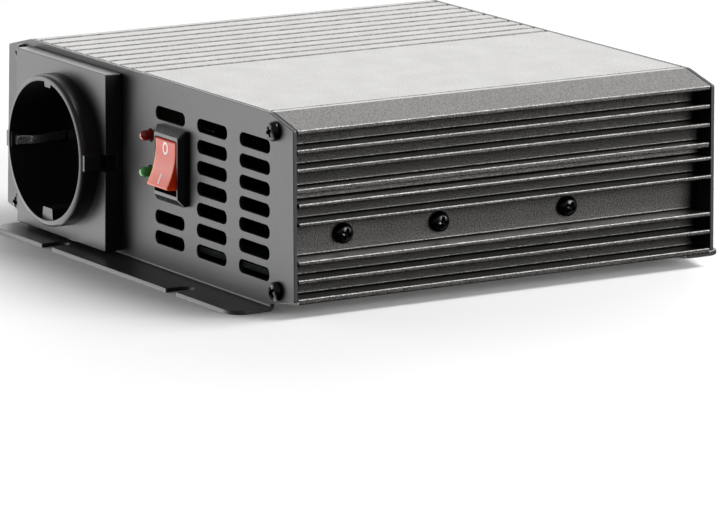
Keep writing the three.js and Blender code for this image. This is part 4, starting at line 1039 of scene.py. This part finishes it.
def fluted_knob(start):
    """A knob turned about Y whose rim is a circle less the flute's depth times (1 + cos 12 a),
    drawn in at both ends. Each row is a radius, a place along Y, and whether it is fluted."""
    end = start + KNOB_LENGTH
    bore, rim = TERMINAL_BORE, KNOB_RADIUS
    rows = [(bore, start + 0.3, 0), (bore + 0.3, start, 0), (rim - 0.6, start, 1),
            (rim - 0.15, start + 0.2, 1), (rim, start + 0.6, 1), (rim, end - 1, 1),
            (rim - 0.25, end - 0.35, 1), (rim - 0.9, end, 1), (bore + 2.2, end, 0),
            (bore + 1.8, end - 0.5, 0), (bore + 0.3, end - 0.5, 0), (bore, end - 0.8, 0)]
    angle = np.linspace(0, 2 * np.pi, 144, endpoint=False)
    radius, y, fluted = (np.array(column, float)[:, None] for column in zip(*rows))
    radius = radius - fluted * FLUTE_DEPTH * (1 + np.cos(KNOB_FLUTES * angle))
    y = np.broadcast_to(y, radius.shape)
    return grid_surface(np.stack([radius * np.cos(angle), y, radius * np.sin(angle)], axis=-1),
                        wrap_rows=True, wrap_columns=True)


def stud_profile():
    """The bolt from its end inside the case to its tip, with a thread on the outer part."""
    head = TERMINAL_INNER - GAP
    thread = [(STUD_RADIUS - THREAD_DEPTH * (i % 2), REAR + 2 + HALF_PITCH * i) for i in range(23)]
    radius = STUD_RADIUS
    return [(0, head - 6), (radius - 0.3, head - 6), (radius, head - 5.7), (radius, head - 3),
            (4.2, head - 3), (4.4, head - 2.8), (4.4, head - 0.2), (4.2, head), (radius, head),
            (radius, REAR + 1.6), *thread, (radius - 0.6, STUD_TIP), (0, STUD_TIP)]


def add_terminal(color, plastic, slot):
    """From the panel outwards: insulating base, bolt, washer and fluted knob."""
    bore, inner, seat = TERMINAL_BORE, TERMINAL_INNER, TERMINAL_SEAT
    base = corner_rounded([(bore, inner), (4.6, inner), (4.6, REAR + GAP), (7.6, REAR + GAP),
                           (7.6, seat), (bore, seat)], [0.1, 0.2, 0.1, 0.2, 0.6, 0.2], 4)
    washer = corner_rounded([(bore, seat + GAP), (5.4, seat + GAP), (5.4, seat + GAP + 1),
                             (bore, seat + GAP + 1)], 0.15, 3)
    parts = [
        ("base", turned(base, closed=True), plastic, slot, "case", 32),
        ("stud", turned(stud_profile(), sides=40), brass, "brass", "case", 32),
        ("washer", turned(washer, closed=True), plated_steel, "plated_steel", f"washer_{color}", 32),
        ("knob", fluted_knob(seat + 1 + 2 * GAP), plastic, slot, f"knob_{color}", 50),
    ]
    for part, surface, material, finish, body, smooth in parts:
        surface = moved(surface, (TERMINAL_X[color], 0, TERMINAL_Z))
        add_piece(f"terminal_{part}_{color}", [surface], material, body, smooth)


add_fan_rotor()
add_terminal("black", socket_plastic, "black_plastic")
add_terminal("red", red_plastic, "red_plastic")

# ---- CAD nodes that stay, with their finishes ----

NODE_FINISHES = [
    (pale_plastic, ["socket_back_cover"]),
    (brass, [f"{part}_{place}" for part in ("socket_contact", "switch_terminal")
             for place in ("upper", "lower")]),
    (fan_plastic, ["fan_frame"]),
    (board_green, ["main_board"]),
    (ferrite, ["transformer_core"]),
    (tape, ["transformer_winding"]),
    (sleeve, ["output_capacitor", "input_capacitor_1", "input_capacitor_2"]),
    (fuse_yellow, ["fuse_1", "fuse_2"]),
    (lead_black, ["battery_lead_black"]),
    (lead_red, ["battery_lead_red"]),
    (transistor_black, [f"power_transistor_{side}_{i}" for side in ("left", "right") for i in (1, 2, 3)]),
]


def finish_nodes():
    for material, names in NODE_FINISHES:
        for name in names:
            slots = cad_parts[name].data.materials
            slots.clear()
            slots.append(material)


finish_nodes()

# ---- floor, light and camera ----

VIEW_AZIMUTH = math.radians(57.39)
VIEW_ELEVATION = math.radians(11.988)
VIEW_ROLL = math.radians(0.554)
CAMERA_PLACE = Vector((1.4361, -0.9147, 0.3569))
FOCAL_LENGTH = 308.3
AIM_OFFSET = (0.00109489, 0.00034063)  # how far the aim leans to the left and down, as slopes
BACKDROP_DIRECTION = (-0.842, 0.539, 0)
BACKDROP_LEVEL = 2.4
REFLECTOR_DIRECTION = (-0.7, -0.47, -0.54)
REFLECTOR_LEVEL = 3.5
ROOM_LEVEL = 0.22
BELOW_SHARE = 0.06
FLOOR_SIZE = 8.0


def add_floor():
    mesh = bpy.data.meshes.new("floor")
    half = FLOOR_SIZE / 2
    corners = [(-half, -half, 0), (half, -half, 0), (half, half, 0), (-half, half, 0)]
    mesh.from_pydata(corners, [], [(0, 1, 2, 3)])
    floor = new_object("floor", mesh)
    material, tree, shader = start_finish("pale_floor", (0.78, 0.78, 0.78), 0.6)
    shade_colors(tree, shader, grain(tree, 40, detail=2), (0.77, 0.77, 0.77), (0.79, 0.79, 0.79))
    mesh.materials.append(material)
    floor.visible_glossy = False
    floor.visible_diffuse = False
    floor.visible_shadow = False


def add_softbox(name, place, target, size, power):
    """A rectangular area light at place, facing target."""
    light = bpy.data.lights.new(name, "AREA")
    light.shape = "RECTANGLE"
    light.size, light.size_y = size
    light.energy = power
    box = new_object(name, light)
    box.location = place
    box.rotation_mode = "QUATERNION"
    box.rotation_quaternion = (Vector(place) - Vector(target)).to_track_quat("Z", "Y")
    box.visible_camera = False


def glow_toward(tree, direction, start, full, level):
    """Light that comes from around one direction. Start and full are the cosines of the angles
    from it where the light begins and where it reaches its level."""
    outwards = add_node(tree, "TexCoord").outputs["Generated"]
    toward = add_node(tree, "VectorMath", "DOT_PRODUCT", vector=outwards)
    toward.inputs[1].default_value = Vector(direction).normalized()
    glow = spread(tree, toward.outputs["Value"], from_min=start, from_max=full, to_max=level)
    glow.node.interpolation_type = "SMOOTHSTEP"
    return glow


def add_surroundings():
    """A dim room with a white backdrop behind the object, dark below the horizon, and a pale
    reflector low in front on the left. The camera itself sees plain white."""
    world = bpy.data.worlds.new("studio")
    world.use_nodes = True
    bpy.context.scene.world = world
    tree = world.node_tree
    background = tree.nodes["Background"]
    background.inputs["Color"].default_value = (1, 1, 1, 1)
    outwards = add_node(tree, "TexCoord").outputs["Generated"]
    height = add_node(tree, "SeparateXYZ", vector=outwards)
    above = spread(tree, height.outputs["Z"], from_min=-0.03, from_max=0.03, to_min=BELOW_SHARE)
    backdrop = glow_toward(tree, BACKDROP_DIRECTION, 0.6, 0.97, BACKDROP_LEVEL)
    room = combined(tree, "ADD", backdrop, ROOM_LEVEL)
    room = combined(tree, "MULTIPLY", room, above)
    reflector = glow_toward(tree, REFLECTOR_DIRECTION, 0.6, 0.96, REFLECTOR_LEVEL)
    camera_ray = add_node(tree, "LightPath").outputs["Is Camera Ray"]
    seen = add_node(tree, "Mix", factor=camera_ray, a=combined(tree, "ADD", room, reflector), b=1)
    tree.links.new(seen.outputs["Result"], background.inputs["Strength"])


def add_camera():
    """The camera looks along the view direction, turned by the small aim offset and the roll."""
    a, e, roll = VIEW_AZIMUTH, VIEW_ELEVATION, VIEW_ROLL
    forward = -Vector((math.sin(a) * math.cos(e), -math.cos(a) * math.cos(e), math.sin(e)))
    level_right = forward.cross(Vector((0, 0, 1))).normalized()
    level_up = level_right.cross(forward)
    right = math.cos(roll) * level_right + math.sin(roll) * level_up
    up = -math.sin(roll) * level_right + math.cos(roll) * level_up
    aim = (forward - AIM_OFFSET[0] * right - AIM_OFFSET[1] * up).normalized()
    right = (right - right.dot(aim) * aim).normalized()
    up = right.cross(aim)
    data = bpy.data.cameras.new("camera")
    data.lens = FOCAL_LENGTH
    data.sensor_width = 36
    data.clip_start, data.clip_end = 0.05, 50
    camera = new_object("camera", data)
    turn = Matrix((right, up, -aim)).transposed()
    camera.matrix_world = Matrix.Translation(CAMERA_PLACE) @ turn.to_4x4()
    bpy.context.scene.camera = camera


add_floor()
add_surroundings()
add_softbox("overhead_softbox", (0.3, 0.55, 1.0), (0, 0, 0), (0.6, 0.6), 13)
add_softbox("side_softbox", (1.0, 0.74, 0.36), (0, 0, 0.03), (0.9, 0.5), 17)
add_softbox("front_softbox", (-1.1, -0.85, 0.32), (0, 0, 0.03), (1.0, 0.6), 6)
add_camera()
bpy.context.scene.view_settings.view_transform = "Standard"
